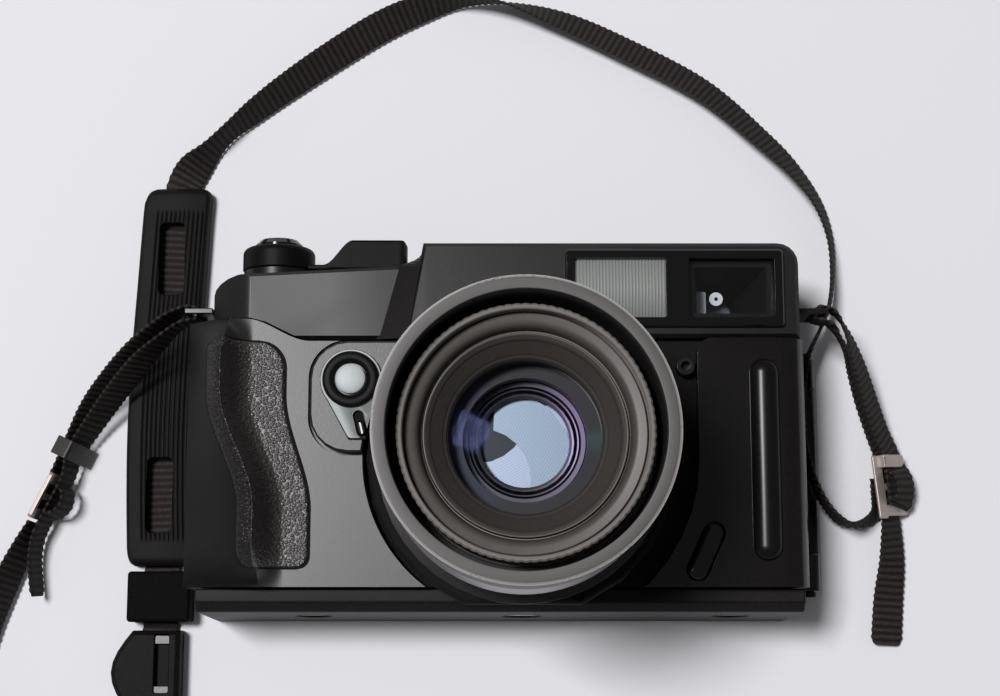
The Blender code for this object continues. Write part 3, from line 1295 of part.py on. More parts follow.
# Strap routes: x, y, z of the webbing's middle and the tilt of its width from level, in mm and degrees
MAIN_ROUTE = (
    (118.7, -2.6, 6.3, 132), (118.6, -9.4, 6.1, 131), (115.2, -15.2, 7.2, 112), (108.2, -17.4, 9.4, 92),
    (102.0, -14.6, 13.4, 90), (96.2, -7.0, 17.2, 90), (92.2, 6.0, 18.0, 90), (91.6, 22.0, 18.0, 90),
    (94.0, 36.0, 17.4, 88), (99.0, 46.5, 14.8, 84), (102.8, 55.0, 11.0, 80), (104.8, 66.0, 8.2, 76),
    (104.6, 79.0, 6.9, 70), (100.7, 91.6, 6.5, 62), (92.5, 103.9, 6.0, 52), (82.4, 114.5, 5.5, 44),
    (62.1, 132.4, 4.8, 36), (34.7, 147.5, 4.6, 34), (13.9, 157.0, 5.0, 42), (-5.0, 162.4, 6.6, 70),
    (-20.0, 163.4, 6.9, 95), (-33.0, 161.0, 6.2, 124), (-48.0, 154.5, 5.2, 138), (-65.8, 142.9, 5.6, 134),
    (-80.0, 132.6, 6.0, 126), (-91.0, 123.8, 6.4, 116), (-99.5, 116.2, 6.8, 104), (-106.0, 109.4, 6.2, 114),
    (-111.4, 104.2, 4.2, 148), (-114.9, 99.2, 1.9, 176), (-116.3, 93.6, 1.7, 180), (-117.0, 88.0, 1.7, 180),
    (-118.3, 62.0, 1.7, 180),
    (-119.5, 38.0, 1.7, 180), (-120.0, 14.0, 1.7, 180), (-119.6, -8.0, 1.7, 180), (-118.6, -32.0, 1.7, 180),
    (-118.4, -44.0, 1.7, 180), (-119.0, -60.0, 1.7, 180), (-119.6, -81.0, 1.8, 180),
    (-121.6, -92.0, 5.0, 140), (-128.0, -103.0, 6.9, 100), (-140.0, -108.6, 7.0, 90),
    (-156.0, -107.0, 7.0, 90), (-169.0, -97.6, 7.0, 86), (-176.0, -83.0, 7.0, 76), (-177.2, -66.0, 7.0, 64),
    (-174.0, -51.0, 7.0, 58), (-168.6, -36.0, 7.0, 58), (-163.6, -25.0, 7.0, 66), (-159.5, -16.8, 7.0, 76),
)
RIGHT_ROUTE = (
    (123.9, -11.1, 9.2, 48), (123.2, -4.4, 9.2, 48), (122.3, 4.3, 9.4, 48), (118.4, 12.6, 12.4, 49),
    (115.4, 19.6, 15.4, 50), (109.8, 34.0, 21.6, 56), (104.8, 44.2, 26.8, 70), (100.6, 49.2, 29.4, 84),
    (96.8, 50.4, 30.0, 90), (94.4, 49.8, 30.0, 90), (93.7, 48.2, 30.0, 90), (94.4, 46.6, 30.0, 90),
    (96.8, 46.0, 29.9, 90), (100.4, 44.2, 28.0, 98), (107.0, 36.0, 19.6, 122), (112.6, 21.8, 13.0, 130),
    (116.6, 12.3, 9.2, 132), (119.7, 4.0, 7.3, 132), (120.7, -5.4, 7.3, 132), (121.7, -14.9, 7.2, 134),
    (122.0, -28.9, 5.4, 150), (120.8, -42.1, 3.4, 166), (119.8, -57.0, 2.4, 172),
)
LEFT_ROUTE = (
    (-158.6, -12.6, 7.6, 80), (-153.2, -1.2, 7.7, 78), (-149.2, 6.9, 8.2, 70), (-142.8, 19.4, 11.4, 64),
    (-135.0, 28.8, 17.4, 62), (-124.8, 38.6, 25.0, 66), (-115.0, 46.6, 28.8, 78), (-109.6, 49.8, 29.8, 88),
    (-106.6, 50.4, 30.0, 90), (-104.4, 49.8, 30.0, 90), (-103.7, 48.2, 30.0, 90), (-104.4, 46.6, 30.0, 90),
    (-106.8, 46.0, 30.0, 90), (-110.4, 44.8, 29.6, 92), (-116.0, 40.6, 28.0, 100),
    (-123.4, 34.4, 23.8, 114), (-132.2, 25.8, 16.6, 118), (-140.0, 16.8, 11.0, 116),
    (-147.4, 6.0, 8.6, 110), (-149.9, -2.9, 8.1, 101), (-156.8, -17.0, 7.8, 100),
    (-159.2, -23.0, 6.8, 100), (-159.8, -30.0, 6.4, 100), (-158.6, -41.0, 6.0, 100),
)
ROUTE_SCALE = 0.001
ROUTE_STEP = 0.0060
RIGHT_SLIDER = (122.0, -5.3, 8.3, 96.0, 48.0)
LEFT_SLIDER = (-155.2, -9.0, 8.6, 64.0, 80.0)
LEFT_KEEPER = (-148.3, 6.4, 8.4, 65.0, 70.0)


def spline(points, share_steps=8):
    """Smooth curve through the points, as evenly stepped samples of (x, y, z, tilt)."""
    ends = [points[0] * 2 - points[1]] + points + [points[-1] * 2 - points[-2]]
    fine = []
    for a, b, c, d in zip(ends, ends[1:], ends[2:], ends[3:]):
        for i in range(share_steps):
            t = i / share_steps
            fine.append(0.5 * (b * 2 + (c - a) * t + (a * 2 - b * 5 + c * 4 - d) * t ** 2
                               + (b * 3 - a - c * 3 + d) * t ** 3))
    fine.append(points[-1])
    return fine


def resample(fine, step):
    """Keep samples a step apart, or closer where the webbing turns sharply."""
    kept = [fine[0]]
    for here, after in zip(fine[1:], fine[2:]):
        run = here.xyz - kept[-1].xyz
        turn = run.angle(after.xyz - here.xyz, 0.0)
        if run.length >= step or run.length * (1.0 + turn * 6.0) >= step:
            kept.append(here)
    kept.append(fine[-1])
    return kept


def ribbon(name, route, width):
    """Flat webbing swept along a route, tilted about its own run as the route says."""
    stations = resample(spline(web_route(route)), ROUTE_STEP)
    sections = []
    for i, station in enumerate(stations):
        run = (stations[min(i + 1, len(stations) - 1)] - stations[max(i - 1, 0)]).xyz.normalized()
        level = Vector((0, 0, 1)).cross(run).normalized()
        up = run.cross(level)
        across = level * math.cos(station.w) + up * math.sin(station.w)
        normal = run.cross(across)
        half, thick = across * width / 2, normal * WEB_THICK / 2
        corners = (half + thick, thick - half, -half - thick, half - thick)
        sections.append([station.xyz + corner for corner in corners])
    make(name, bridge(sections), "webbing")


def web_route(route):
    return [Vector((x, y, z, 0)) * ROUTE_SCALE + Vector((0, 0, 0, math.radians(t))) for x, y, z, t in route]


def pad_place(y):
    """Middle of the pad, on the webbing, and its half width, which rounds off at the ends."""
    line = [p for p in spline(web_route(MAIN_ROUTE)) if p.x < -BODY_LEFT and p.y > PAD_LOW * 2]
    before, after = next(pair for pair in zip(line, line[1:]) if pair[1].y <= y)
    x = before.x + (after.x - before.x) * (before.y - y) / (before.y - after.y)
    end = min(PAD_HIGH - y, y - PAD_LOW) / PAD_END
    draw = 1.0 - math.sqrt(1.0 - (1.0 - min(end, 1.0)) ** 2)
    return x, PAD_WIDTH / 2 * (1.0 - PAD_DRAW * draw)


def pad_section(half):
    """Cross-section of the pad: ribs along its crowned top, a channel for the webbing underneath."""
    low = FLOOR_GAP
    top = low + PAD_THICK
    edge = top - PAD_CROWN * 2
    channel = WEB_WIDTH / 2 + GAP
    pitch = 2 * half * 0.8 / PAD_RIBS
    section = [(-half, low + GAP), (-channel, low), (-channel, low + PAD_CHANNEL),
               (channel, low + PAD_CHANNEL), (channel, low), (half, low + GAP), (half, edge)]
    for i in range(PAD_RIBS):
        right = half * 0.8 - i * pitch
        for share, depth in ((0.0, 0.0), (0.6, 0.0), (0.7, PAD_RIB_DEPTH), (0.9, PAD_RIB_DEPTH)):
            across = right - share * pitch
            section.append((across, top - PAD_CROWN * (across / half) ** 2 - depth))
    return section + [(-half, edge)]


def shoulder_pad():
    ends = [PAD_END * share for share in (0.0, 0.2, 0.5, 1.0)]
    ys = [PAD_HIGH - e for e in ends]
    ys += [PAD_HIGH + (PAD_LOW - PAD_HIGH) * i / 6 for i in range(1, 6)]
    ys += [PAD_LOW + e for e in reversed(ends)]
    sections = []
    for y in ys:
        x, half = pad_place(y)
        sections.append([(x + a, y, z) for a, z in pad_section(half)])
    pad = make("shoulder_pad", bridge(sections), "rubber")
    for middle in PAD_SLOTS:
        x = pad_place(middle)[0]
        half = PAD_SLOT_WIDTH / 2
        reach = PAD_SLOT_LENGTH / 2
        outline = rounded_box((x - half, middle - reach), (x + half, middle + reach), half / 3)
        cut(pad, prism(outline, FLOOR_GAP + PAD_CHANNEL / 2, FLOOR_GAP + PAD_THICK * 2))


def strap_channel(x, low, high):
    """Room for the webbing under a fitting that is threaded on it."""
    half = WEB_WIDTH / 2 + GAP * 2
    return block((x - half, low, -FLOOR_GAP), (x + half, high, FLOOR_GAP + PAD_CHANNEL))


def strap_box():
    half = (BOX_WIDTH / 2, BOX_LENGTH / 2)
    outline = rounded_box((BOX_X - half[0], BOX_Y - half[1]), (BOX_X + half[0], BOX_Y + half[1]), 0.0012)
    body = make("strap_box", prism(outline, FLOOR_GAP, FLOOR_GAP + BOX_HEIGHT, bevel=0.0008), "gloss_black")
    cut(body, strap_channel(BOX_X, BOX_Y - BOX_LENGTH, BOX_Y + BOX_LENGTH))


def strap_clip():
    """A plastic clip with a bowed outer flank, threaded on the webbing."""
    half = CLIP_LENGTH / 2
    right = CLIP_X + WEB_WIDTH / 2 + 0.0020
    left = CLIP_X - CLIP_WIDTH + 0.0075
    flank = []
    for i in range(9):
        flank.append((left - 0.0068 * math.sin(math.pi * i / 8), CLIP_Y + half - CLIP_LENGTH * i / 8))
    outline = [(right, CLIP_Y - half), (right, CLIP_Y + half)] + flank
    clip = make("strap_clip", prism(outline, FLOOR_GAP, FLOOR_GAP + CLIP_HEIGHT, bevel=0.0014), "gloss_black")
    cut(clip, strap_channel(CLIP_X, CLIP_Y - CLIP_LENGTH, CLIP_Y + CLIP_LENGTH))


def placed(bm, place):
    """Set a flat fitting on the strap: its width along the webbing's width, its length along the run."""
    x, y, z, heading, tilt = place
    run = Vector((math.cos(math.radians(heading)), math.sin(math.radians(heading)), 0.0))
    level = Vector((0, 0, 1)).cross(run)
    across = level * math.cos(math.radians(tilt)) + Vector((0, 0, math.sin(math.radians(tilt))))
    turn = Matrix((across, run, across.cross(run))).transposed().to_4x4()
    turn.translation = Vector((x, y, z)) * ROUTE_SCALE
    bmesh.ops.transform(bm, matrix=turn, verts=bm.verts)
    return bm


def slider(name, place, length, windows, finish):
    """A frame of wire or strip with open windows, that the webbing is threaded through."""
    half = SLIDER_WIDTH / 2
    body = make(name, placed(prism(rounded_box((-half, -length / 2), (half, length / 2), SLIDER_BAR / 2),
                                   -SLIDER_THICK / 2, SLIDER_THICK / 2), place), finish)
    inner = half - SLIDER_BAR * 0.7
    pitch = (length - 2 * SLIDER_END + SLIDER_BAR) / windows
    for i in range(windows):
        low = -length / 2 + SLIDER_END + i * pitch
        hole = box_outline((-inner, low), (inner, low + pitch - SLIDER_BAR))
        cut(body, placed(prism(hole, -SLIDER_THICK, SLIDER_THICK), place))


def keeper(name, place, finish):
    """A flat loop round the strands of webbing."""
    half = END_WIDTH / 2 + GAP * 2
    thick = KEEPER_ROOM / 2
    wall = SLIDER_THICK * 0.7
    outer = rounded_box((-half - wall, -thick - wall), (half + wall, thick + wall), wall)
    reach = KEEPER_LENGTH / 2
    body = make(name, placed(prism(outer, -reach, reach, "xz"), place), finish)
    hole = box_outline((-half, -thick), (half, thick))
    cut(body, placed(prism(hole, -reach - GAP, reach + GAP, "xz"), place))


def strap_fittings():
    slider("slider_right", RIGHT_SLIDER, SLIDER_LENGTH, 2, "nickel")
    slider("slider_left", LEFT_SLIDER, LEFT_SLIDER_LENGTH, 2, "gunmetal")
    keeper("keeper_left", LEFT_KEEPER, "gunmetal")


def strap():
    ribbon("strap_main", MAIN_ROUTE, WEB_WIDTH)
    ribbon("strap_right_end", RIGHT_ROUTE, END_WIDTH)
    ribbon("strap_left_end", LEFT_ROUTE, END_WIDTH)
    shoulder_pad()
    strap_box()
    strap_clip()
    strap_fittings()


def body():
    chassis()
    film_rollers()
    take_up()
    spool_knobs()
    back_door()
    pressure_plate()
    hinge_pin()
    door_latch()
    grip_cover()
    grip_rubber()
    top_cover()
    hot_shoe()
    window_frame()
    windows()
    finder_tunnel()
    eyepiece_lens()
    base_cover()
    tripod_socket()
    right_cover()
    oblong_button()
    sync_terminal()
    release_plate()
    release_collar()
    front_release()
    release_lock()
    advance_lever()
    top_release()
    strap_lugs()


def lens():
    lens_plate()
    helicoid_base()
    focus_ring()
    scale_rings()
    lens_barrel()
    front_rings()
    elements()
    shutter_case()
    shutter_blades()
    hood()


clear_scene()
body()
lens()
strap()
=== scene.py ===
import json
import math

import bmesh
import bpy
from mathutils import Matrix, Vector


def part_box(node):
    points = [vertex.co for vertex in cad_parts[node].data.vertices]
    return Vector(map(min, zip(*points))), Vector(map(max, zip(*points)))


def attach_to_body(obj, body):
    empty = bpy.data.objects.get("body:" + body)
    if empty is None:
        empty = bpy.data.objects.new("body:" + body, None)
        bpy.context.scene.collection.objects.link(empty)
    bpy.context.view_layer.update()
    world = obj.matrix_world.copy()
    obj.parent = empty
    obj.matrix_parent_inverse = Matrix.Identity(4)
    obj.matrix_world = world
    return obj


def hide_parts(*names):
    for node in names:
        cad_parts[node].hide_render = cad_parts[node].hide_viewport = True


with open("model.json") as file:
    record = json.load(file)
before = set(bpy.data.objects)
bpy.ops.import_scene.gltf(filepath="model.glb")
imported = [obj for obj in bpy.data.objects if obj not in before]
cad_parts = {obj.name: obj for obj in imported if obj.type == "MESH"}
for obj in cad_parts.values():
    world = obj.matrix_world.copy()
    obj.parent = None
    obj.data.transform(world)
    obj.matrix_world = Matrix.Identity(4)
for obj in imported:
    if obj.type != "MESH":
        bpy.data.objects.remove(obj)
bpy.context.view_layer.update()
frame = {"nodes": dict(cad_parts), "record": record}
scene = bpy.context.scene
record = frame["record"]
bodyOf = {node: body for body, names in record["behaviour"]["bodies"].items() for node in names}


def linear(hexCode):
    parts = [int(hexCode[i:i + 2], 16) / 255 for i in (1, 3, 5)]
    return [c / 12.92 if c <= 0.04045 else ((c + 0.055) / 1.055) ** 2.4 for c in parts] + [1.0]


def addNode(tree, kind, values=None, links=None, **settings):
    node = tree.nodes.new(kind)
    for key, value in settings.items():
        setattr(node, key, value)
    for key, value in (values or {}).items():
        node.inputs[key].default_value = value
    for key, source in (links or {}).items():
        tree.links.new(source, node.inputs[key])
    return node


def newMaterial(name, colour, **sockets):
    material = bpy.data.materials.new(name)
    material.use_nodes = True
    shader = material.node_tree.nodes["Principled BSDF"]
    shader.inputs["Base Color"].default_value = linear(colour)
    for key, value in sockets.items():
        shader.inputs[key].default_value = value
    return material, material.node_tree, shader


# camera where the photographer stood: nearly above, a little towards the base
camera = {"place": (-0.00697, -0.05546, 0.59203), "tilt": 9.4, "lens": 63.76}
cameraData = bpy.data.cameras.new("photoCamera")
cameraData.sensor_width = 36
cameraData.lens = camera["lens"]
cameraObject = bpy.data.objects.new("photoCamera", cameraData)
cameraObject.location = camera["place"]
cameraObject.rotation_euler = (math.radians(camera["tilt"]), 0, 0)
scene.collection.objects.link(cameraObject)
scene.camera = cameraObject
scene.view_settings.view_transform = "Standard"
print("camera set")


# white table under one big soft box above and to the left, in a dim even room
studio = {"floor": "#e4e3e6", "size": 6.0, "room": 0.16,
          "lights": {"softBox": ((-1.20, 0.54, 3.60), 0.78, 134.0, "#fdfdff")}}
paleTable, tree, shader = newMaterial("paintedTable", studio["floor"], Roughness=0.8)  # matt, nearly white
shader.inputs["Specular IOR Level"].default_value = 0.2
floorMesh = bpy.data.meshes.new("table")
half = studio["size"] / 2
floorMesh.from_pydata([(-half, -half, 0), (half, -half, 0), (half, half, 0), (-half, half, 0)], [], [(0, 1, 2, 3)])
floorMesh.materials.append(paleTable)
floor = bpy.data.objects.new("table", floorMesh)
scene.collection.objects.link(floor)
world = bpy.data.worlds.new("softRoom")
scene.world = world
world.use_nodes = True
world.node_tree.nodes["Background"].inputs["Color"].default_value = linear("#f8f8fb")
world.node_tree.nodes["Background"].inputs["Strength"].default_value = studio["room"]
for name, (place, size, power, colour) in studio["lights"].items():
    data = bpy.data.lights.new(name, "AREA")
    data.size = size
    data.energy = power
    data.color = linear(colour)[:3]
    light = bpy.data.objects.new(name, data)
    light.location = place
    light.rotation_euler = (Vector((0, 0.02, 0.03)) - Vector(place)).to_track_quat("-Z", "Y").to_euler()
    scene.collection.objects.link(light)
print("studio lit")


def clamp(value):
    return min(max(value, 0.0), 1.0)


def grained(name, dark, pale, grain, roughness, depth, **sockets):  # speckled moulding, grain in metres
    material, tree, shader = newMaterial(name, dark, Roughness=roughness)
    for key, value in sockets.items():
        shader.inputs[key.replace("_", " ")].default_value = value
    place = addNode(tree, "ShaderNodeTexCoord")
    speckle = addNode(tree, "ShaderNodeTexNoise", {"Scale": 1 / grain, "Detail": 3, "Roughness": 0.65},
                      {"Vector": place.outputs["Object"]})
    share = addNode(tree, "ShaderNodeMapRange", {"From Min": 0.40, "From Max": 0.66},
                    {"Value": speckle.outputs["Fac"]})
    tone = addNode(tree, "ShaderNodeMix", {6: linear(dark), 7: linear(pale)}, {0: share.outputs["Result"]},
                   data_type="RGBA")
    tree.links.new(tone.outputs[2], shader.inputs["Base Color"])
    bump = addNode(tree, "ShaderNodeBump", {"Strength": 0.6, "Distance": depth}, {"Height": speckle.outputs["Fac"]})
    tree.links.new(bump.outputs["Normal"], shader.inputs["Normal"])
    return material


coverBlack = grained("mouldedPolycarbonate", "#0f0d0d", "#181615", 0.0007, 0.34, 0.000005, Specular_IOR_Level=0.24)  # satin
deckBlack = grained("polishedPolycarbonate", "#0f0d0d", "#181615", 0.0007, 0.34, 0.000005, Specular_IOR_Level=0.24)
tree = deckBlack.node_tree
place = addNode(tree, "ShaderNodeTexCoord")
apart = addNode(tree, "ShaderNodeSeparateXYZ", None, {0: place.outputs["Object"]})
share = addNode(tree, "ShaderNodeMapRange", {"From Min": -0.1, "From Max": 0.0}, {"Value": apart.outputs["X"]})
sheen = addNode(tree, "ShaderNodeValToRGB", None, {0: share.outputs[0]})
for i, (stop, level) in enumerate(((0.11, 0.60), (0.15, 0.31), (0.40, 0.34), (0.58, 0.46), (0.66, 0.46), (0.70, 0.34))):
    point = sheen.color_ramp.elements[i] if i < 2 else sheen.color_ramp.elements.new(stop)
    point.position, point.color = stop, (level, level, level, 1)
tree.links.new(sheen.outputs["Color"], tree.nodes["Principled BSDF"].inputs["Roughness"])  # sheen fades to the right
panelBlack = grained("smoothPolycarbonate", "#0d0b0a", "#14110f", 0.0008, 0.18, 0.000006, Specular_IOR_Level=0.40)  # near black
gripBlack = grained("grainedPolycarbonate", "#131111", "#2c2a29", 0.00040, 0.40, 0.00005, Specular_IOR_Level=0.68)  # grey sheen
flankShadeBlack = grained("shadedFlankPolycarbonate", "#0b0a0a", "#181616", 0.00040, 0.46, 0.00003, Specular_IOR_Level=0.12)  # darker and duller: painted shade on the grip's left flank
matBlack = grained("mattBlackPaint", "#090808", "#100f0e", 0.0006, 0.80, 0.00003, Specular_IOR_Level=0.2)
anodised = grained("blackAnodisedAluminium", "#121010", "#1b1817", 0.0005, 0.38, 0.00001)  # dark satin metal
rubberBlack = grained("pebbledRubber", "#262322", "#4e4946", 0.0005, 0.40, 0.00007, Specular_IOR_Level=0.75)  # leather grain
rubberFlankShade = grained("shadedFlankRubber", "#151312", "#221f1e", 0.0005, 0.44, 0.00006, Specular_IOR_Level=0.22)  # painted shade: darker rubber left of the crest
padRubber = grained("mouldedRubber", "#0d0b0a", "#151211", 0.0006, 0.62, 0.00003, Specular_IOR_Level=0.14)  # dull
webbing = grained("wovenNylon", "#1f1a18", "#443b37", 0.00035, 0.80, 0.00008, Specular_IOR_Level=0.3)  # dull threads
shader = webbing.node_tree.nodes["Principled BSDF"]
weave = addNode(webbing.node_tree, "ShaderNodeAttribute", attribute_name="rib")
furrowShade = addNode(webbing.node_tree, "ShaderNodeMix", {6: linear("#080605")},
                {0: weave.outputs["Fac"], 7: shader.inputs["Base Color"].links[0].from_socket}, data_type="RGBA")
webbing.node_tree.links.new(furrowShade.outputs[2], shader.inputs["Base Color"])  # painted shade, darker in the furrow between two ribs
baseBlack = grained("dullPolycarbonate", "#120f0f", "#1b1817", 0.0006, 0.50, 0.00002, Specular_IOR_Level=0.14)  # dull
glossBlack = grained("polishedAcrylic", "#060607", "#09090a", 0.0008, 0.12, 0.000001)  # deep gloss
leverBlack = grained("satinEnamel", "#0d0b0b", "#131110", 0.0008, 0.28, 0.000006, Specular_IOR_Level=0.22)  # dark
leverDull = grained("dullEnamel", "#090808", "#0e0c0c", 0.0008, 0.50, 0.000006, Specular_IOR_Level=0.10)  # darker
clipBlack = grained("mouldedAcetal", "#100e0f", "#191718", 0.0006, 0.55, 0.00002, Specular_IOR_Level=0.08)  # waxy
boxBlack = grained("smoothAcetal", "#0a0909", "#100e0e", 0.0006, 0.72, 0.00001, Specular_IOR_Level=0.05)  # darkest
paleAcetal = grained("paleAcetal", "#8b8886", "#a09d9a", 0.0005, 0.55, 0.00001, Specular_IOR_Level=0.3)
collarBlack = grained("blackEnamel", "#0b0a0a", "#110f0f", 0.0006, 0.50, 0.000004, Specular_IOR_Level=0.12)
steel = grained("plainSteel", "#adadaf", "#babbbd", 0.0005, 0.30, 0.000002, Metallic=1.0)  # grey, finely scratched
blackSteel = grained("blackenedSteel", "#171616", "#1e1d1c", 0.0005, 0.28, 0.000003, Metallic=0.6)  # long highlight
silver = grained("satinChrome", "#b0b5b5", "#b9bebe", 0.0003, 0.55, 0.000003, Metallic=0.1)  # near-white button
satinFace = grained("satinAluminium", "#9fa4a4", "#aab0b0", 0.0004, 0.50, 0.00001)  # pale plate round the button
nickel = grained("nickelPlate", "#a79c95", "#b5a9a2", 0.0006, 0.42, 0.000003, Metallic=0.4)  # warm pale metal
gunmetal = grained("gunmetalPlate", "#504f52", "#5e5e61", 0.0005, 0.40, 0.000003, Metallic=0.7)  # cool grey metal
dullPlate = grained("blackenedZinc", "#2c2b28", "#3e3d39", 0.0004, 0.48, 0.00001, Metallic=0.3)  # worn grey bar
frosted = grained("frostedAcrylic", "#888a87", "#929491", 0.0003, 0.55, 0.000004)  # milky
greyPaint = grained("greyPaint", "#676564", "#706e6d", 0.0004, 0.55, 0.000003)  # inside of the finder
whitePaint = grained("whitePaint", "#dfe1df", "#e5e7e5", 0.0003, 0.5, 0.000002)  # clean white


def ringMask(tree, low, high, soft):  # 1 between two radii from the lens axis
    place = addNode(tree, "ShaderNodeTexCoord")
    flat = addNode(tree, "ShaderNodeVectorMath", {1: (1, 1, 0)}, {0: place.outputs["Object"]}, operation="MULTIPLY")
    radius = addNode(tree, "ShaderNodeVectorMath", None, {0: flat.outputs[0]}, operation="LENGTH")
    rise = addNode(tree, "ShaderNodeMapRange", {"From Min": low - soft, "From Max": low + soft},
                   {"Value": radius.outputs["Value"]})
    fall = addNode(tree, "ShaderNodeMapRange", {"From Min": high + soft, "From Max": high - soft},
                   {"Value": radius.outputs["Value"]})
    return place, addNode(tree, "ShaderNodeMath", None, {0: rise.outputs[0], 1: fall.outputs[0]}, operation="MULTIPLY")


def wornEdge(name, dark, pale, bare, radius, front):  # paint rubbed through to bright metal on the outer front edge
    material, tree, shader = newMaterial(name, dark, Roughness=0.48, Metallic=0.35)
    place, rim = ringMask(tree, radius - 0.0006, radius + 0.002, 0.0003)
    height = addNode(tree, "ShaderNodeSeparateXYZ", None, {0: place.outputs["Object"]})
    near = addNode(tree, "ShaderNodeMapRange", {"From Min": front - 0.0010, "From Max": front - 0.0005},
                   {"Value": height.outputs["Z"]})
    face = addNode(tree, "ShaderNodeMapRange", {"From Min": front - 0.0004, "From Max": front - 0.0002},
                   {"Value": height.outputs["Z"]})
    chips = addNode(tree, "ShaderNodeTexNoise", {"Scale": 900.0, "Detail": 4, "Roughness": 0.7},
                    {"Vector": place.outputs["Object"]})
    patches = addNode(tree, "ShaderNodeTexNoise", {"Scale": 60.0, "Detail": 1}, {"Vector": place.outputs["Object"]})
    both = addNode(tree, "ShaderNodeMath", None, {0: chips.outputs["Fac"], 1: patches.outputs["Fac"]})
    wear = addNode(tree, "ShaderNodeMapRange", {"From Min": 0.60, "From Max": 0.86}, {"Value": both.outputs[0]})
    edge = addNode(tree, "ShaderNodeMath", None, {0: rim.outputs[0], 1: near.outputs[0]}, operation="MULTIPLY")
    rubbed = addNode(tree, "ShaderNodeMath", None, {0: edge.outputs[0], 1: wear.outputs[0]}, operation="MULTIPLY")
    body = addNode(tree, "ShaderNodeMix", {6: linear(dark), 7: linear(pale)}, {0: face.outputs[0]}, data_type="RGBA")
    tone = addNode(tree, "ShaderNodeMix", {7: linear(bare)}, {0: rubbed.outputs[0], 6: body.outputs[2]},
                   data_type="RGBA")
    tree.links.new(tone.outputs[2], shader.inputs["Base Color"])
    tree.links.new(rubbed.outputs[0], shader.inputs["Metallic"])
    return material


def coatedGlass(name, tint, mirror):  # clear with a coloured reflection from its coating
    material, tree, shader = newMaterial(name, "#ffffff")
    tree.nodes.remove(shader)
    clear = addNode(tree, "ShaderNodeBsdfTransparent", {"Color": (0.94, 0.95, 0.97, 1)})
    shine = addNode(tree, "ShaderNodeBsdfGlossy", {"Color": linear(tint), "Roughness": 0.02})
    edge = addNode(tree, "ShaderNodeFresnel", {"IOR": 1.5})
    amount = addNode(tree, "ShaderNodeMath", {1: mirror}, {0: edge.outputs["Fac"]}, operation="MULTIPLY")
    both = addNode(tree, "ShaderNodeMixShader", None,
                   {0: amount.outputs[0], 1: clear.outputs[0], 2: shine.outputs[0]})
    tree.links.new(both.outputs[0], tree.nodes["Material Output"].inputs["Surface"])
    return material


frontGlass = coatedGlass("coatedFrontGlass", "#6f78b8", 0.10)
innerGlass = coatedGlass("coatedInnerGlass", "#a583c0", 0.12)
clearGlass = coatedGlass("clearWindowGlass", "#ffffff", 0.6)
print("materials made")


smoothGroup = bpy.data.node_groups.new("smoothByAngle", "GeometryNodeTree")  # keeps hard edges hard
smoothGroup.interface.new_socket("Geometry", in_out="INPUT", socket_type="NodeSocketGeometry")
smoothGroup.interface.new_socket("Geometry", in_out="OUTPUT", socket_type="NodeSocketGeometry")
given = addNode(smoothGroup, "NodeGroupInput")
angle = addNode(smoothGroup, "GeometryNodeInputMeshEdgeAngle")
isHard = addNode(smoothGroup, "FunctionNodeCompare", {"B": math.radians(34)},
                 {"A": angle.outputs["Unsigned Angle"]}, operation="GREATER_THAN")
allSmooth = addNode(smoothGroup, "GeometryNodeSetShadeSmooth", {"Shade Smooth": True},
                    {"Geometry": given.outputs[0]}, domain="FACE")
hardEdges = addNode(smoothGroup, "GeometryNodeSetShadeSmooth", {"Shade Smooth": False},
                    {"Geometry": allSmooth.outputs[0], "Selection": isHard.outputs[0]}, domain="EDGE")
addNode(smoothGroup, "NodeGroupOutput", None, {0: hardEdges.outputs[0]})


def soften(obj, edge, segments=3):  # rounded edges and smooth faces
    if edge:
        bevel = obj.modifiers.new("softEdge", "BEVEL")
        bevel.width = edge
        bevel.segments = segments
        bevel.limit_method = "ANGLE"
        bevel.angle_limit = math.radians(32)
        bevel.use_clamp_overlap = True
    obj.modifiers.new("smooth", "NODES").node_group = smoothGroup
    obj.modifiers.new("normals", "WEIGHTED_NORMAL").keep_sharp = True
    return obj


def dress(node, material, edge=0.0004):  # a CAD solid with its material and softened edges
    obj = frame["nodes"][node]
    obj.data.materials.clear()
    obj.data.materials.append(material)
    weld = obj.modifiers.new("weld", "WELD")
    weld.merge_threshold = 0.00001
    flat = obj.modifiers.new("flatten", "DECIMATE")
    flat.decimate_type = "DISSOLVE"
    flat.angle_limit = math.radians(0.6)
    return soften(obj, edge)


def newObject(name, bm, material, angle=34):
    bmesh.ops.remove_doubles(bm, verts=bm.verts, dist=1e-7)
    bmesh.ops.recalc_face_normals(bm, faces=bm.faces)
    mesh = bpy.data.meshes.new(name)
    bm.to_mesh(mesh)
    bm.free()
    mesh.shade_smooth()
    mesh.set_sharp_from_angle(angle=math.radians(angle))
    mesh.materials.append(material)
    obj = bpy.data.objects.new(name, mesh)
    scene.collection.objects.link(obj)
    return obj


def attach(obj, node, *replaced):  # moves with the node's body, and may stand for nodes
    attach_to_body(obj, bodyOf[node])
    if replaced:
        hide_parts(*replaced)
    return obj


def addPiece(name, bm, material, node, angle=34):
    return attach(newObject(name, bm, material, angle), node, node)


def copyOf(node, name, material):  # a piece of its own that starts from the CAD solid
    bm = bmesh.new()
    bm.from_mesh(frame["nodes"][node].data)
    bm.transform(frame["nodes"][node].matrix_world)
    bmesh.ops.remove_doubles(bm, verts=bm.verts, dist=1e-5)
    bmesh.ops.dissolve_limit(bm, angle_limit=math.radians(0.6), verts=bm.verts, edges=bm.edges)
    return newObject(name, bm, material)


def addDetail(name, bm, material, node, angle=34):  # goes with a node that still shows
    return attach(newObject(name, bm, material, angle), node)


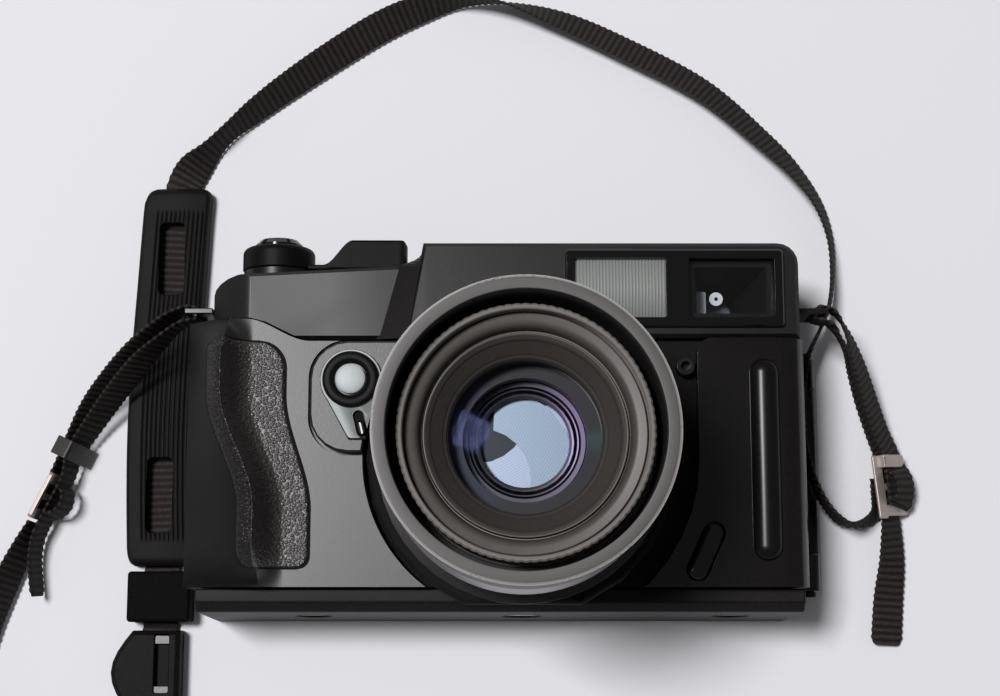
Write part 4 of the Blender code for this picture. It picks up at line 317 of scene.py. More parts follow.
def carve(obj, bm, how="DIFFERENCE"):  # cuts one mesh out of a piece, or joins it on
    tool = newObject("cutter", bm, obj.data.materials[0])
    boolean = obj.modifiers.new("carve", "BOOLEAN")
    boolean.operation = how
    boolean.solver = "EXACT"
    boolean.object = tool
    bpy.context.view_layer.update()
    mesh = bpy.data.meshes.new_from_object(obj.evaluated_get(bpy.context.evaluated_depsgraph_get()))
    obj.modifiers.clear()
    obj.data = mesh
    bpy.data.objects.remove(tool)
    return obj


def roundCorners(points, radius, steps=5):  # a closed outline with its corners filleted
    rounded = []
    for i, point in enumerate(points):
        before, here, after = Vector(points[i - 1]), Vector(point), Vector(points[(i + 1) % len(points)])
        inward, outward = (before - here), (after - here)
        reach = min(radius, inward.length * 0.45, outward.length * 0.45)
        start, end = here + inward.normalized() * reach, here + outward.normalized() * reach
        for j in range(steps + 1):
            t = j / steps
            rounded.append(tuple(start * (1 - t) ** 2 + here * 2 * t * (1 - t) + end * t ** 2))
    return rounded


def spin(profile, segments=160, centre=(0, 0), upright="z"):  # turned solid from a closed (radius, height) outline
    bm = bmesh.new()
    rings = []
    for radius, height in profile:
        count = segments if radius > 1e-6 else 1
        ring = []
        for i in range(count):
            turn = math.tau * i / segments
            a, b = centre[0] + radius * math.cos(turn), centre[1] + radius * math.sin(turn)
            ring.append(bm.verts.new((a, b, height) if upright == "z" else (a, height, b)))
        rings.append(ring)
    for one, two in zip(rings, rings[1:] + rings[:1]):
        for i in range(segments):
            j = (i + 1) % segments
            corners = [one[i % len(one)], one[j % len(one)], two[j % len(two)], two[i % len(two)]]
            corners = list(dict.fromkeys(corners))
            if len(corners) > 2:
                bm.faces.new(corners)
    return bm


def prism(outline, low, high, plane="xy"):  # straight solid over an outline
    place = {"xy": lambda a, b, c: (a, b, c), "xz": lambda a, b, c: (a, c, b), "yz": lambda a, b, c: (c, a, b)}[plane]
    bm = bmesh.new()
    floor = [bm.verts.new(place(a, b, low)) for a, b in outline]
    roof = [bm.verts.new(place(a, b, high)) for a, b in outline]
    bm.faces.new(floor[::-1])
    bm.faces.new(roof)
    for i in range(len(outline)):
        j = (i + 1) % len(outline)
        bm.faces.new((floor[i], floor[j], roof[j], roof[i]))
    return bm


def loft(sections):  # closed solid through rings of equal point count
    bm = bmesh.new()
    rings = [[bm.verts.new(p) for p in section] for section in sections]
    for one, two in zip(rings, rings[1:]):
        for i in range(len(one)):
            j = (i + 1) % len(one)
            bm.faces.new((one[i], one[j], two[j], two[i]))
    bm.faces.new(rings[0][::-1])
    bm.faces.new(rings[-1])
    return bm


def arc(centre, radius, start, end, steps=24):
    turns = [math.radians(start + (end - start) * i / steps) for i in range(steps + 1)]
    return [(centre[0] + radius * math.cos(t), centre[1] + radius * math.sin(t)) for t in turns]


def stadium(centre, length, width, tilt):
    straight = (length - width) / 2
    ring = arc((0, straight), width / 2, 0, 180, 16) + arc((0, -straight), width / 2, 180, 360, 16)
    turn = Matrix.Rotation(math.radians(tilt), 2)
    return [tuple(turn @ Vector(p) + Vector(centre)) for p in ring]


def inset(outline, distance):  # the same outline moved inwards, for an outline run anticlockwise
    moved = []
    for i, point in enumerate(outline):
        before, after = Vector(outline[i - 1]), Vector(outline[(i + 1) % len(outline)])
        along = (after - before).normalized()
        moved.append((point[0] - along.y * distance, point[1] + along.x * distance))
    return moved


def domedSlab(outline, low, high, drop, steps=8):  # slab whose top edge is a quarter round
    layers = [(inset(outline, drop / 2), low), (outline, low + drop / 2)]
    for i in range(steps + 1):
        turn = math.pi / 2 * i / steps
        layers.append((inset(outline, drop * (1 - math.cos(turn))), high - drop + drop * math.sin(turn)))
    return loft([[(x, y, z) for x, y in ring] for ring, z in layers])


def nodeGroup(name, sockets):  # an empty geometry group with named inputs
    group = bpy.data.node_groups.new(name, "GeometryNodeTree")
    group.interface.new_socket("Geometry", in_out="INPUT", socket_type="NodeSocketGeometry")
    for socket, kind in sockets.items():
        group.interface.new_socket(socket, in_out="INPUT", socket_type="NodeSocket" + kind)
    group.interface.new_socket("Geometry", in_out="OUTPUT", socket_type="NodeSocketGeometry")
    return group, addNode(group, "NodeGroupInput")


def closeGroup(group, instances, material):  # real mesh with its material
    real = addNode(group, "GeometryNodeRealizeInstances", None, {"Geometry": instances})
    painted = addNode(group, "GeometryNodeSetMaterial", None, {"Geometry": real.outputs[0], "Material": material})
    addNode(group, "NodeGroupOutput", None, {0: painted.outputs[0]})


def grow(name, group, inputs, node, mesh=None):  # runs a node group once and keeps the mesh it made
    obj = bpy.data.objects.new(name, mesh or bpy.data.meshes.new(name))
    scene.collection.objects.link(obj)
    modifier = obj.modifiers.new("nodes", "NODES")
    modifier.node_group = group
    for item in group.interface.items_tree:
        if item.item_type == "SOCKET" and item.in_out == "INPUT" and item.name in inputs:
            modifier[item.identifier] = inputs[item.name]
    bpy.context.view_layer.update()
    made = bpy.data.meshes.new_from_object(obj.evaluated_get(bpy.context.evaluated_depsgraph_get()))
    obj.modifiers.clear()
    obj.data = made
    return attach(obj, node)


# ring of round teeth for the lens rings: cylinders standing round the axis
teethGroup, given = nodeGroup("ringOfTeeth", {"Radius": "Float", "Count": "Int", "Tooth": "Float", "Height": "Float",
                                              "Bottom": "Float", "Material": "Material"})
circle = addNode(teethGroup, "GeometryNodeMeshCircle", None, {"Vertices": given.outputs["Count"],
                                                             "Radius": given.outputs["Radius"]})
tooth = addNode(teethGroup, "GeometryNodeMeshCylinder", {"Vertices": 12},
                {"Radius": given.outputs["Tooth"], "Depth": given.outputs["Height"]})
smoothTooth = addNode(teethGroup, "GeometryNodeSetShadeSmooth", None, {"Geometry": tooth.outputs["Mesh"],
                                                                      "Selection": tooth.outputs["Side"]})
placed = addNode(teethGroup, "GeometryNodeInstanceOnPoints", None, {"Points": circle.outputs[0],
                                                                   "Instance": smoothTooth.outputs[0]})
halfUp = addNode(teethGroup, "ShaderNodeMath", {1: 0.5}, {0: given.outputs["Height"]}, operation="MULTIPLY")
level = addNode(teethGroup, "ShaderNodeMath", None, {0: given.outputs["Bottom"], 1: halfUp.outputs[0]})
lift = addNode(teethGroup, "ShaderNodeCombineXYZ", None, {"Z": level.outputs[0]})
raised = addNode(teethGroup, "GeometryNodeTransform", None, {"Geometry": placed.outputs[0],
                                                            "Translation": lift.outputs[0]})
closeGroup(teethGroup, raised.outputs[0], given.outputs["Material"])

# row of half-round ribs for the ribbed window
ribGroup, given = nodeGroup("rowOfRibs", {"Count": "Int", "Pitch": "Float", "Rib": "Float", "Length": "Float",
                                          "Start": "Vector", "Material": "Material"})
step = addNode(ribGroup, "ShaderNodeCombineXYZ", None, {"X": given.outputs["Pitch"]})
row = addNode(ribGroup, "GeometryNodeMeshLine", None, {"Count": given.outputs["Count"],
                                                      "Start Location": given.outputs["Start"],
                                                      "Offset": step.outputs[0]})
bar = addNode(ribGroup, "GeometryNodeMeshCylinder", {"Vertices": 12},
              {"Radius": given.outputs["Rib"], "Depth": given.outputs["Length"]})
smoothBar = addNode(ribGroup, "GeometryNodeSetShadeSmooth", None, {"Geometry": bar.outputs["Mesh"],
                                                                  "Selection": bar.outputs["Side"]})
laid = addNode(ribGroup, "GeometryNodeTransform", {"Rotation": (math.pi / 2, 0, 0)},
               {"Geometry": smoothBar.outputs[0]})
placed = addNode(ribGroup, "GeometryNodeInstanceOnPoints", None, {"Points": row.outputs[0],
                                                                 "Instance": laid.outputs[0]})
closeGroup(ribGroup, placed.outputs[0], given.outputs["Material"])

# pebbled skin: pushes a fine grid out along its normals
pebbleGroup, given = nodeGroup("pebbledSkin", {"Grain": "Float", "Depth": "Float", "Material": "Material"})
fine = addNode(pebbleGroup, "ShaderNodeMath", {0: 1.0}, {1: given.outputs["Grain"]}, operation="DIVIDE")
cells = addNode(pebbleGroup, "ShaderNodeTexVoronoi", {"Randomness": 1.0}, {"Scale": fine.outputs[0]},
                feature="DISTANCE_TO_EDGE")
pit = addNode(pebbleGroup, "ShaderNodeMapRange", {"From Max": 0.34, "To Min": -1.0, "To Max": 0.0},
              {"Value": cells.outputs["Distance"]}, interpolation_type="SMOOTHSTEP")
amount = addNode(pebbleGroup, "ShaderNodeMath", None, {0: pit.outputs[0], 1: given.outputs["Depth"]},
                 operation="MULTIPLY")
facing = addNode(pebbleGroup, "GeometryNodeInputNormal")
push = addNode(pebbleGroup, "ShaderNodeVectorMath", None, {0: facing.outputs[0], "Scale": amount.outputs[0]},
               operation="SCALE")
pebbled = addNode(pebbleGroup, "GeometryNodeSetPosition", None, {"Geometry": given.outputs[0],
                                                                "Offset": push.outputs[0]})
closeGroup(pebbleGroup, pebbled.outputs[0], given.outputs["Material"])
print("node groups made")


# neck strap: each route is x, y, z in mm and the tilt of the webbing's width from level
strap = {"width": 0.0120, "endWidth": 0.0108, "thick": 0.0012, "pitch": 0.0022, "rib": 0.00032, "saw": 0.00030,
         "step": 0.00035, "corner": 0.0028}
mainRoute = [
    (118.7, -2.6, 6.3, 132), (118.6, -9.4, 6.1, 131), (115.2, -15.2, 7.2, 112), (108.2, -17.4, 9.4, 92),
    (102.0, -14.6, 13.4, 90), (96.2, -7.0, 17.2, 90), (92.2, 6.0, 18.0, 90), (91.6, 22.0, 18.0, 90),
    (94.0, 36.0, 17.4, 88), (99.0, 46.5, 14.8, 84), (102.8, 55.0, 11.0, 80), (104.8, 66.0, 8.2, 76),
    (104.6, 79.0, 6.9, 70), (100.7, 91.6, 6.5, 62), (92.5, 103.9, 6.0, 52), (82.4, 114.5, 5.5, 44),
    (62.1, 132.4, 4.8, 36), (34.7, 147.5, 4.6, 34), (13.9, 157.0, 5.0, 42), (-5.0, 162.4, 6.6, 70),
    (-20.0, 163.4, 6.9, 95), (-33.0, 161.0, 6.2, 124), (-48.0, 154.5, 5.2, 138), (-65.8, 142.9, 5.6, 134),
    (-80.0, 132.6, 6.0, 126), (-91.0, 123.8, 6.4, 116), (-99.5, 116.2, 6.8, 104), (-106.0, 109.4, 6.2, 114),
    (-111.4, 104.2, 4.2, 148), (-114.9, 99.2, 1.9, 176), (-116.3, 93.6, 1.7, 180), (-117.0, 88.0, 1.7, 180),
    (-118.3, 62.0, 1.7, 180),
    (-119.5, 38.0, 1.7, 180), (-120.0, 14.0, 1.7, 180), (-119.6, -8.0, 1.7, 180), (-118.6, -32.0, 1.7, 180),
    (-118.4, -44.0, 1.7, 180), (-119.0, -60.0, 1.7, 180), (-119.6, -81.0, 1.8, 180),
    (-121.6, -92.0, 5.0, 140), (-128.0, -103.0, 6.9, 100), (-140.0, -108.6, 7.0, 90),
    (-156.0, -107.0, 7.0, 90), (-169.0, -97.6, 7.0, 86), (-176.0, -83.0, 7.0, 76), (-177.2, -66.0, 7.0, 64),
    (-174.0, -51.0, 7.0, 58), (-168.6, -36.0, 7.0, 58), (-163.6, -25.0, 7.0, 66), (-159.5, -16.8, 7.0, 76)]
rightRoute = [
    (123.9, -11.1, 9.2, 48), (123.2, -4.4, 9.2, 48), (122.3, 4.3, 9.4, 48), (118.4, 12.6, 12.4, 49),
    (115.4, 19.6, 15.4, 50), (109.8, 34.0, 21.6, 56), (104.8, 44.2, 26.8, 70), (100.6, 49.2, 29.4, 84),
    (96.8, 50.4, 30.0, 90), (94.4, 49.8, 30.0, 90), (93.7, 48.2, 30.0, 90), (94.4, 46.6, 30.0, 90),
    (96.8, 46.0, 29.9, 90), (100.4, 44.2, 28.0, 98), (107.0, 36.0, 19.6, 122), (112.6, 21.8, 13.0, 130),
    (116.6, 12.3, 9.2, 132), (119.7, 4.0, 7.3, 132), (120.7, -5.4, 7.3, 132), (121.7, -14.9, 7.2, 134),
    (122.0, -28.9, 5.4, 150), (120.8, -42.1, 3.4, 166), (119.8, -57.0, 2.4, 172)]
leftRoute = [
    (-158.6, -12.6, 7.6, 80), (-153.2, -1.2, 7.7, 78), (-149.2, 6.9, 8.2, 70), (-142.8, 19.4, 11.4, 64),
    (-135.0, 28.8, 17.4, 62), (-124.8, 38.6, 25.0, 66), (-115.0, 46.6, 28.8, 78), (-109.6, 49.8, 29.8, 88),
    (-106.6, 50.4, 30.0, 90), (-104.4, 49.8, 30.0, 90), (-103.7, 48.2, 30.0, 90), (-104.4, 46.6, 30.0, 90),
    (-106.8, 46.0, 30.0, 90), (-110.4, 44.8, 29.6, 92), (-116.0, 40.6, 28.0, 100),
    (-123.4, 34.4, 23.8, 114), (-132.2, 25.8, 16.6, 118), (-140.0, 16.8, 11.0, 116),
    (-147.4, 6.0, 8.6, 110), (-149.9, -2.9, 8.1, 101), (-156.8, -17.0, 7.8, 100),
    (-159.2, -23.0, 6.8, 100), (-159.8, -30.0, 6.4, 100), (-158.6, -41.0, 6.0, 100)]


def curveThrough(route):  # smooth line through a route, samples an equal step apart
    points = [Vector((x / 1000, y / 1000, z / 1000, math.radians(t))) for x, y, z, t in route]
    ends = [points[0] * 2 - points[1]] + points + [points[-1] * 2 - points[-2]]
    fine = []
    for a, b, c, d in zip(ends, ends[1:], ends[2:], ends[3:]):
        for i in range(60):
            t = i / 60
            fine.append(0.5 * (b * 2 + (c - a) * t + (a * 2 - b * 5 + c * 4 - d) * t ** 2
                               + (b * 3 - a - c * 3 + d) * t ** 3))
    fine.append(points[-1])
    line, left = [fine[0]], strap["step"]
    for one, two in zip(fine, fine[1:]):
        gap = (two.xyz - one.xyz).length
        while gap >= left:
            one = one.lerp(two, left / gap)
            line.append(one)
            gap = (two.xyz - one.xyz).length
            left = strap["step"]
        left -= gap
    return line


def webAxes(line, i):  # across and outward directions of the webbing at one sample
    run = (line[min(i + 1, len(line) - 1)] - line[max(i - 1, 0)]).xyz.normalized()
    level = Vector((0, 0, 1)).cross(run).normalized()
    across = level * math.cos(line[i].w) + run.cross(level) * math.sin(line[i].w)
    return across, run.cross(across)


def webRing(width, thick, rib):  # rounded flat section; rib is 1 on a rib and 0 in the furrow
    half = width / 2 - strap["saw"] * (1 - rib)
    top = thick / 2 - strap["rib"] * (1 - rib)
    shape = ((1.0, 0.0), (0.97, 0.7), (0.88, 1.0), (0.5, 1.0), (0.0, 1.0), (-0.5, 1.0), (-0.88, 1.0), (-0.97, 0.7))
    upper = [(a * half, b * top) for a, b in shape]
    return upper + [(-a, -b) for a, b in upper]


def webStrip(line, width, roundEnds=(False, False)):  # woven strip with a rib across it at every pitch
    sections, ribs = [], []
    last = len(line) - 1
    for i, station in enumerate(line):
        across, out = webAxes(line, i)
        rib = 0.5 + 0.5 * math.cos(math.tau * i * strap["step"] / strap["pitch"])
        wide = width
        for isRound, steps in zip(roundEnds, (i, last - i)):
            reach = min(1.0, (steps * strap["step"] + 0.0002) / strap["corner"])
            wide -= 2 * strap["corner"] * (1 - math.sqrt(1 - (1 - reach) ** 2)) if isRound else 0.0
        ring = webRing(wide, strap["thick"], rib)
        ribs.append(rib)
        sections.append([station.xyz + across * a + out * b for a, b in ring])
    bm = loft(sections)
    layer = bm.verts.layers.float.new("rib")
    for i, vertex in enumerate(bm.verts):
        vertex[layer] = ribs[i // len(sections[0])]
    return bm


mainLine = curveThrough(mainRoute)
rightLine = curveThrough(rightRoute)
leftLine = curveThrough(leftRoute)
strapMain = addPiece("strapMain", webStrip(mainLine, strap["width"]), webbing, "strap_main", 50)
strapRight = addPiece("strapRight", webStrip(rightLine, strap["endWidth"], (False, True)), webbing, "strap_right_end", 50)
strapLeft = addPiece("strapLeft", webStrip(leftLine, strap["endWidth"], (False, True)), webbing, "strap_left_end", 50)
print("strap woven")


# shoulder pad: ribbed rubber with two slots that show the webbing
pad = {"low": -0.0310, "high": 0.0965, "width": 0.0226, "bottom": 0.0003, "thick": 0.0072, "crown": 0.0010,
       "end": 0.0064, "draw": 0.20, "channel": 0.0034, "ribs": 11, "ribDepth": 0.00042, "margin": 0.58, "slots": (0.0720, -0.0078),
       "slotWidth": 0.0088, "slotLength": 0.0250}
padLine = [p for p in mainLine if -0.130 < p.x < -0.100 and p.y > pad["low"] * 2]


def padMiddle(y):
    return min(padLine, key=lambda p: abs(p.y - y)).x


def padSection(half, top, ribbing):  # ribs over the crowned top, a channel for the webbing underneath
    low = pad["bottom"]
    channel = strap["width"] / 2 + 0.0004
    ring = [(-half, low + 0.0008), (-half + 0.0006, low), (-channel, low), (-channel, low + pad["channel"]),
            (channel, low + pad["channel"]), (channel, low), (half - 0.0006, low), (half, low + 0.0008)]
    count = pad["ribs"] * 12
    for i in range(count + 1):
        a = 1 - 2 * i / count
        edge = max(0.0, (abs(a) - 0.86) / 0.14)
        fall = pad["crown"] * a * a + 0.0022 * (1 - math.sqrt(1 - edge ** 2))
        share = clamp((a + pad["margin"]) / (pad["margin"] + 0.90))
        wave = 0.5 - 0.5 * math.cos(math.tau * pad["ribs"] * share + math.pi)
        ring.append((a * half, top - fall - pad["ribDepth"] * (1 - wave) ** 3 * ribbing))
    return ring


padSections = []
for i in range(161):
    y = pad["low"] + (pad["high"] - pad["low"]) * i / 160
    reach = min(1.0, min(y - pad["low"], pad["high"] - y) / pad["end"])
    drawn = 1 - math.sqrt(1 - (1 - reach) ** 2)
    top = pad["bottom"] + pad["thick"] - 0.0016 * max(0.0, 1 - reach * 2.5) ** 2
    half = pad["width"] / 2 * (1 - pad["draw"] * drawn)
    ribbing = clamp((min(y - pad["low"], pad["high"] - y) - 0.0075) / 0.0015)
    padSections.append([(padMiddle(y) + a, y, z) for a, z in padSection(half, top, ribbing)])
shoulderPad = newObject("shoulderPad", loft(padSections), padRubber)
for y in pad["slots"]:
    x, reach, across = padMiddle(y), pad["slotLength"] / 2, pad["slotWidth"] / 2
    slot = roundCorners([(x - across, y - reach), (x + across, y - reach), (x + across, y + reach),
                         (x - across, y + reach)], 0.0026)
    carve(shoulderPad, prism(slot, 0.0020, 0.02))
attach(shoulderPad, "shoulder_pad", "shoulder_pad")
strapBox = dress("strap_box", boxBlack, 0.0007)
low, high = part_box("strap_clip")
clip = {"slot": (-0.1192, -0.0720, -0.1146, -0.0536), "deep": 0.0030, "ends": (0.0026, 0.0020)}
a, b, c, d = clip["slot"]
strapClip = copyOf("strap_clip", "strapClip", clipBlack)
carve(strapClip, prism(roundCorners([(a, b), (c, b), (c, d), (a, d)], 0.0008), high[2] - clip["deep"], high[2] + 0.001))
attach(soften(strapClip, 0.0006), "strap_clip", "strap_clip")
for name, y, wide in (("clipBarHigh", d, -clip["ends"][0]), ("clipBarLow", b, clip["ends"][1])):
    bar = [(a, min(y, y + wide)), (c, min(y, y + wide)), (c, max(y, y + wide)), (a, max(y, y + wide))]
    addDetail(name, prism(bar, high[2] - clip["deep"] - 0.0002, high[2] - 0.0008), paleAcetal, "strap_clip")


# right slider: a plated bracket whose end bars lie over the webbing, and the web arch between them
slider = {"place": (122.0, -5.3, 8.3), "heading": 96, "tilt": 48, "width": 0.0160, "length": 0.0206, "bar": 0.0024,
          "thick": 0.0009, "lift": 0.0025}


def sliderFrame(place, heading, tilt):  # y along the strap, z away from the table
    turn, lean = math.radians(heading), math.radians(tilt)
    along = Vector((math.cos(turn), math.sin(turn), 0))
    across = along.cross(Vector((0, 0, 1))) * math.cos(lean) - Vector((0, 0, math.sin(lean)))
    matrix = Matrix((across, along, across.cross(along))).transposed().to_4x4()
    matrix.translation = Vector(place) / 1000
    return matrix


def sliderPlate(left, right, low, high, under, over):
    bm = prism(roundCorners([(left, low), (right, low), (right, high), (left, high)], 0.0009), under, over)
    bmesh.ops.transform(bm, matrix=sliderFrame(slider["place"], slider["heading"], slider["tilt"]), verts=bm.verts)
    return bm


def webArch(name, place, heading, tilt, bulge, node):  # webbing pushed up between the two bars of a slider
    turn = sliderFrame(place, heading, tilt)
    route = [tuple((turn @ Vector((0, y / 1000, z / 1000))) * 1000) + (tilt,) for y, z in bulge]
    return addDetail(name, webStrip(curveThrough(route), strap["endWidth"]), webbing, node, 50)


side, reach = slider["width"] / 2, slider["length"] / 2
for name, (left, right, low, high, under, over) in {
        "sliderFlap": (-side, 0.0046, reach - 0.0042, reach, slider["lift"], slider["lift"] + slider["thick"]),
        "sliderRiser": (-side, -side + 0.0012, reach - 0.0042, reach, -0.0004, slider["lift"] + slider["thick"]),
        "sliderSide": (-side - 0.0026, -side + 0.0024, -reach, reach, 0.0, slider["thick"])}.items():
    attach(soften(newObject(name, sliderPlate(left, right, low, high, under, over), nickel), 0.0003), "slider_right")
webArch("webArchRight", slider["place"], slider["heading"], slider["tilt"],
        [(-6.2, 1.0), (-5.2, 3.2), (-2.8, 4.9), (0.0, 5.4), (2.8, 4.9), (5.0, 3.4), (6.2, 1.8)], "strap_right_end")
webArch("webArchLeft", (-155.2, -9.0, 8.6), 64, 80,
        [(-5.0, 2.7), (-4.2, 4.4), (-2.2, 5.7), (0.0, 6.2), (2.2, 5.7), (4.2, 4.6), (5.0, 3.0)], "strap_left_end")
print("fittings set")

# grip cover: S-shaped crest with a crease, carved for the shoulder seam and the release plate
low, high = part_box("grip_cover")
grip = {"left": -low[0], "bottom": -low[1], "top": 0.0372, "front": 0.0500, "rise": 0.0150, "edge": 0.0400,
        "end": 0.0130, "step": 0.10, "fall": 0.0074, "crease": 0.80, "hollow": 2.8, "bulge": 1.3, "crest": (-0.0910, -0.0803),
        "bend": (0.0200, -0.0160), "shoulder": 0.0070, "outer": -0.0860, "inner": -0.0660, "back": 0.0462,
        "rim": low[2], "side": 0.0839, "lensEdge": 0.0489}


def smooth(value):
    t = clamp(value)
    return t * t * (3 - 2 * t)


def shoulderY(x):
    return grip["top"] + grip["shoulder"] * (1 - smooth((x - grip["outer"]) / (grip["inner"] - grip["outer"])))


def crestX(y):
    share = smooth((grip["bend"][0] - y) / (grip["bend"][0] - grip["bend"][1]))
    return grip["crest"][0] + (grip["crest"][1] - grip["crest"][0]) * share


def gripZ(x, y):
    low = clamp((y + grip["bottom"]) / grip["end"])
    high = clamp((shoulderY(x) - y) / grip["end"])
    ends = smooth(low) * smooth(high)
    top = grip["front"] + grip["rise"] * (grip["step"] + (1 - grip["step"]) * ends)
    middle = crestX(y)
    if x < middle:
        share = max(0.0, (x + grip["left"]) / (middle + grip["left"]))
        return grip["edge"] + (top - grip["edge"]) * (1 - (1 - share) ** grip["bulge"])
    share = min(1.0, (x - middle) / grip["fall"])
    hollow = 1 - (1 - share) ** grip["hollow"]
    return top - (top - grip["front"]) * (grip["crease"] * hollow + (1 - grip["crease"]) * smooth(share))


def gripSection(y):
    right = -math.sqrt(grip["lensEdge"] ** 2 - y ** 2)
    middle = crestX(y)
    flank = [-grip["left"] + (middle + grip["left"]) * (i / 26) ** 1.6 for i in range(26, -1, -1)]
    slope = [middle + grip["fall"] * i / 26 for i in range(26, 0, -1)]
    ring = [(-grip["left"], y, grip["rim"]), (-grip["side"], y, grip["rim"]), (-grip["side"], y, grip["back"]),
            (right, y, grip["back"]), (right, y, grip["front"] - 0.0005)]
    return ring + [(x, y, gripZ(x, y)) for x in [right - 0.0004] + slope + flank]


def spread(low, high, rows):  # closer together towards both ends
    return [low + (high - low) * (1 - math.cos(math.pi * i / rows)) / 2 for i in range(rows + 1)]


release = {"x": -0.0527, "y": 0.0237, "left": 0.0131, "half": 0.0180, "corner": 0.0120, "drop": 0.0045,
           "lensEdge": 0.0489, "floor": 0.0476}


def releaseOutline(grown):  # D-shape whose right side follows the lens plate
    middle = release["y"] - release["drop"]
    low, high = middle - release["half"] - grown, middle + release["half"] - 0.0008 + grown
    left, radius = release["x"] - release["left"] - grown, release["corner"]
    start = 180 - math.degrees(math.asin(high / release["lensEdge"]))
    end = 180 - math.degrees(math.asin(low / release["lensEdge"]))
    outline = arc((left + radius, high - radius), radius, 90, 180)
    outline += arc((left + radius, low + radius), radius, 180, 270)
    return outline + arc((0, 0), release["lensEdge"] + grown, end, start)


gripTop = grip["top"] + grip["shoulder"] + 0.0004


def darkSide(obj, material, shift):  # the faces left of the crest take a darker second material, painted shade
    obj.data.materials.append(material)
    for face in obj.data.polygons:
        if face.center.x < crestX(face.center.y) + shift:
            face.material_index = len(obj.data.materials) - 1


gripCover = newObject("gripCover", loft([gripSection(y) for y in spread(-grip["bottom"], gripTop, 90)]), gripBlack)
seam = [(x, shoulderY(x) - 0.0007) for x in spread(grip["inner"] + 0.0004, -grip["left"] - 0.0004, 40)]
above = seam[::-1] + [(0.0, grip["top"] - 0.0007), (0.0, gripTop + 0.0004), (-grip["left"] - 0.0004, gripTop + 0.0004)]
carve(gripCover, prism(above, 0.0, 0.08))
carve(gripCover, prism(releaseOutline(0.0004), release["floor"], 0.08))
# painted shade on the grip cover's left flank
darkSide(gripCover, flankShadeBlack, 0.0)
attach(soften(gripCover, 0.0), "grip_cover", "grip_cover")

rubber = {"low": -0.0335, "high": 0.0362, "left": 0.0055, "right": 0.0150, "flare": 0.0026, "leftCorners": (0.0040, 0.0036),
          "rightCorners": (0.0090, 0.0040), "seat": 0.0004,
          "thick": 0.0009, "grain": 0.0011, "depth": 0.00030, "rows": 400, "columns": 120, "border": 0.0005}


def cornerDraw(y, corners, grown):  # how far a rounded corner pulls an edge in at this height
    draw = 0.0
    for radius, reach in zip(corners, (rubber["high"] + grown - y, y - rubber["low"] + grown)):
        near = clamp(1 - reach / radius)
        draw += radius * (1 - math.sqrt(1 - near ** 2))
    return draw


def rubberRow(y, lift, edge, grown=0.0):
    flare = rubber["flare"] * smooth((y - grip["bend"][1]) / (grip["bend"][0] - grip["bend"][1]))
    left = crestX(y) - rubber["left"] - grown + cornerDraw(y, rubber["leftCorners"], grown)
    right = crestX(y) + rubber["right"] + flare + grown - cornerDraw(y, rubber["rightCorners"], grown)
    share = abs(2 * y - rubber["high"] - rubber["low"]) / (rubber["high"] - rubber["low"])
    row = []
    for i in range(rubber["columns"] + 1):
        t = i / rubber["columns"]
        x = left + (right - left) * t
        rim = clamp(min(min(t, 1 - t) * 24, (1 - share) * 60))
        slope = max(-0.8, min(0.8, (gripZ(x + 0.0004, y) - gripZ(x - 0.0004, y)) / 0.0008))
        level = sum(gripZ(x + s * 0.0004, y) for s in (-2, -1, 0, 1, 2)) / 5  # the crest of the rubber is rounded
        row.append((x, y, level + (lift - edge * (1 - rim) ** 2) * math.sqrt(1 + slope * slope)))
    return row


def rubberRing(y):  # pebbled top, then the two lower corners
    under = rubberRow(y, 0.0, 0.0)
    return rubberRow(y, rubber["seat"] + rubber["thick"], 0.0009) + under[::-4]


rows = [rubber["low"] + (rubber["high"] - rubber["low"]) * i / rubber["rows"] for i in range(rubber["rows"] + 1)]
skin = loft([rubberRing(y) for y in rows])
skinMesh = newObject("gripRubberBlank", skin, rubberBlack)
pebbles = {"Grain": rubber["grain"], "Depth": rubber["depth"], "Material": rubberBlack}
gripRubber = grow("gripRubber", pebbleGroup, pebbles, "grip_rubber", skinMesh.data)
bpy.data.objects.remove(skinMesh)
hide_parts("grip_rubber")
# painted shade on the rubber left of its crest
darkSide(gripRubber, rubberFlankShade, -0.0006)
border = rubber["border"]
rows = [rubber["low"] - border + (rubber["high"] - rubber["low"] + 2 * border) * i / 120 for i in range(121)]
addDetail("rubberBorder", loft([rubberRow(y, 0.00012, 0.0, border)[::3] + rubberRow(y, -0.0004, 0.0, border)[::-3]
                                for y in rows]), matBlack, "grip_cover")
print("grip shaped")


# release group: enamel collar in a bright ring, domed button, slot with its lock
centre = (release["x"], release["y"])
low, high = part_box("release_collar")
collar = {"outer": (high[0] - low[0]) / 2, "inner": 0.0050, "low": low[2], "high": high[2]}
ring = [(collar["inner"], collar["low"]), (collar["outer"], collar["low"]), (collar["outer"], collar["high"] - 0.0006),
        (collar["outer"] - 0.0010, collar["high"]), (collar["inner"] + 0.0012, collar["high"]),
        (collar["inner"], collar["high"] - 0.0009)]
addPiece("releaseCollar", spin(roundCorners(ring, 0.0005), 96, centre), collarBlack, "release_collar")
low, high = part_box("front_release_button")
button = {"radius": (high[0] - low[0]) / 2, "low": low[2], "high": high[2]}
dome = [(button["radius"] * math.cos(t), button["high"] - 0.0010 + 0.0010 * math.sin(t))
        for t in [math.pi / 2 * i / 10 for i in range(11)]]
addPiece("releaseButton", spin([(0, button["low"]), (button["radius"], button["low"])] + dome, 72, centre),
         silver, "front_release_button")
boss = {"radius": 0.0096, "top": 0.0548, "tail": 0.0183, "tailWidth": 0.0056, "shift": 0.0021, "margin": 0.0003}
lock = {"place": (-0.0497, 0.0101)}
low, left = centre[1] - boss["tail"], centre[0] + boss["shift"] - boss["tailWidth"] / 2
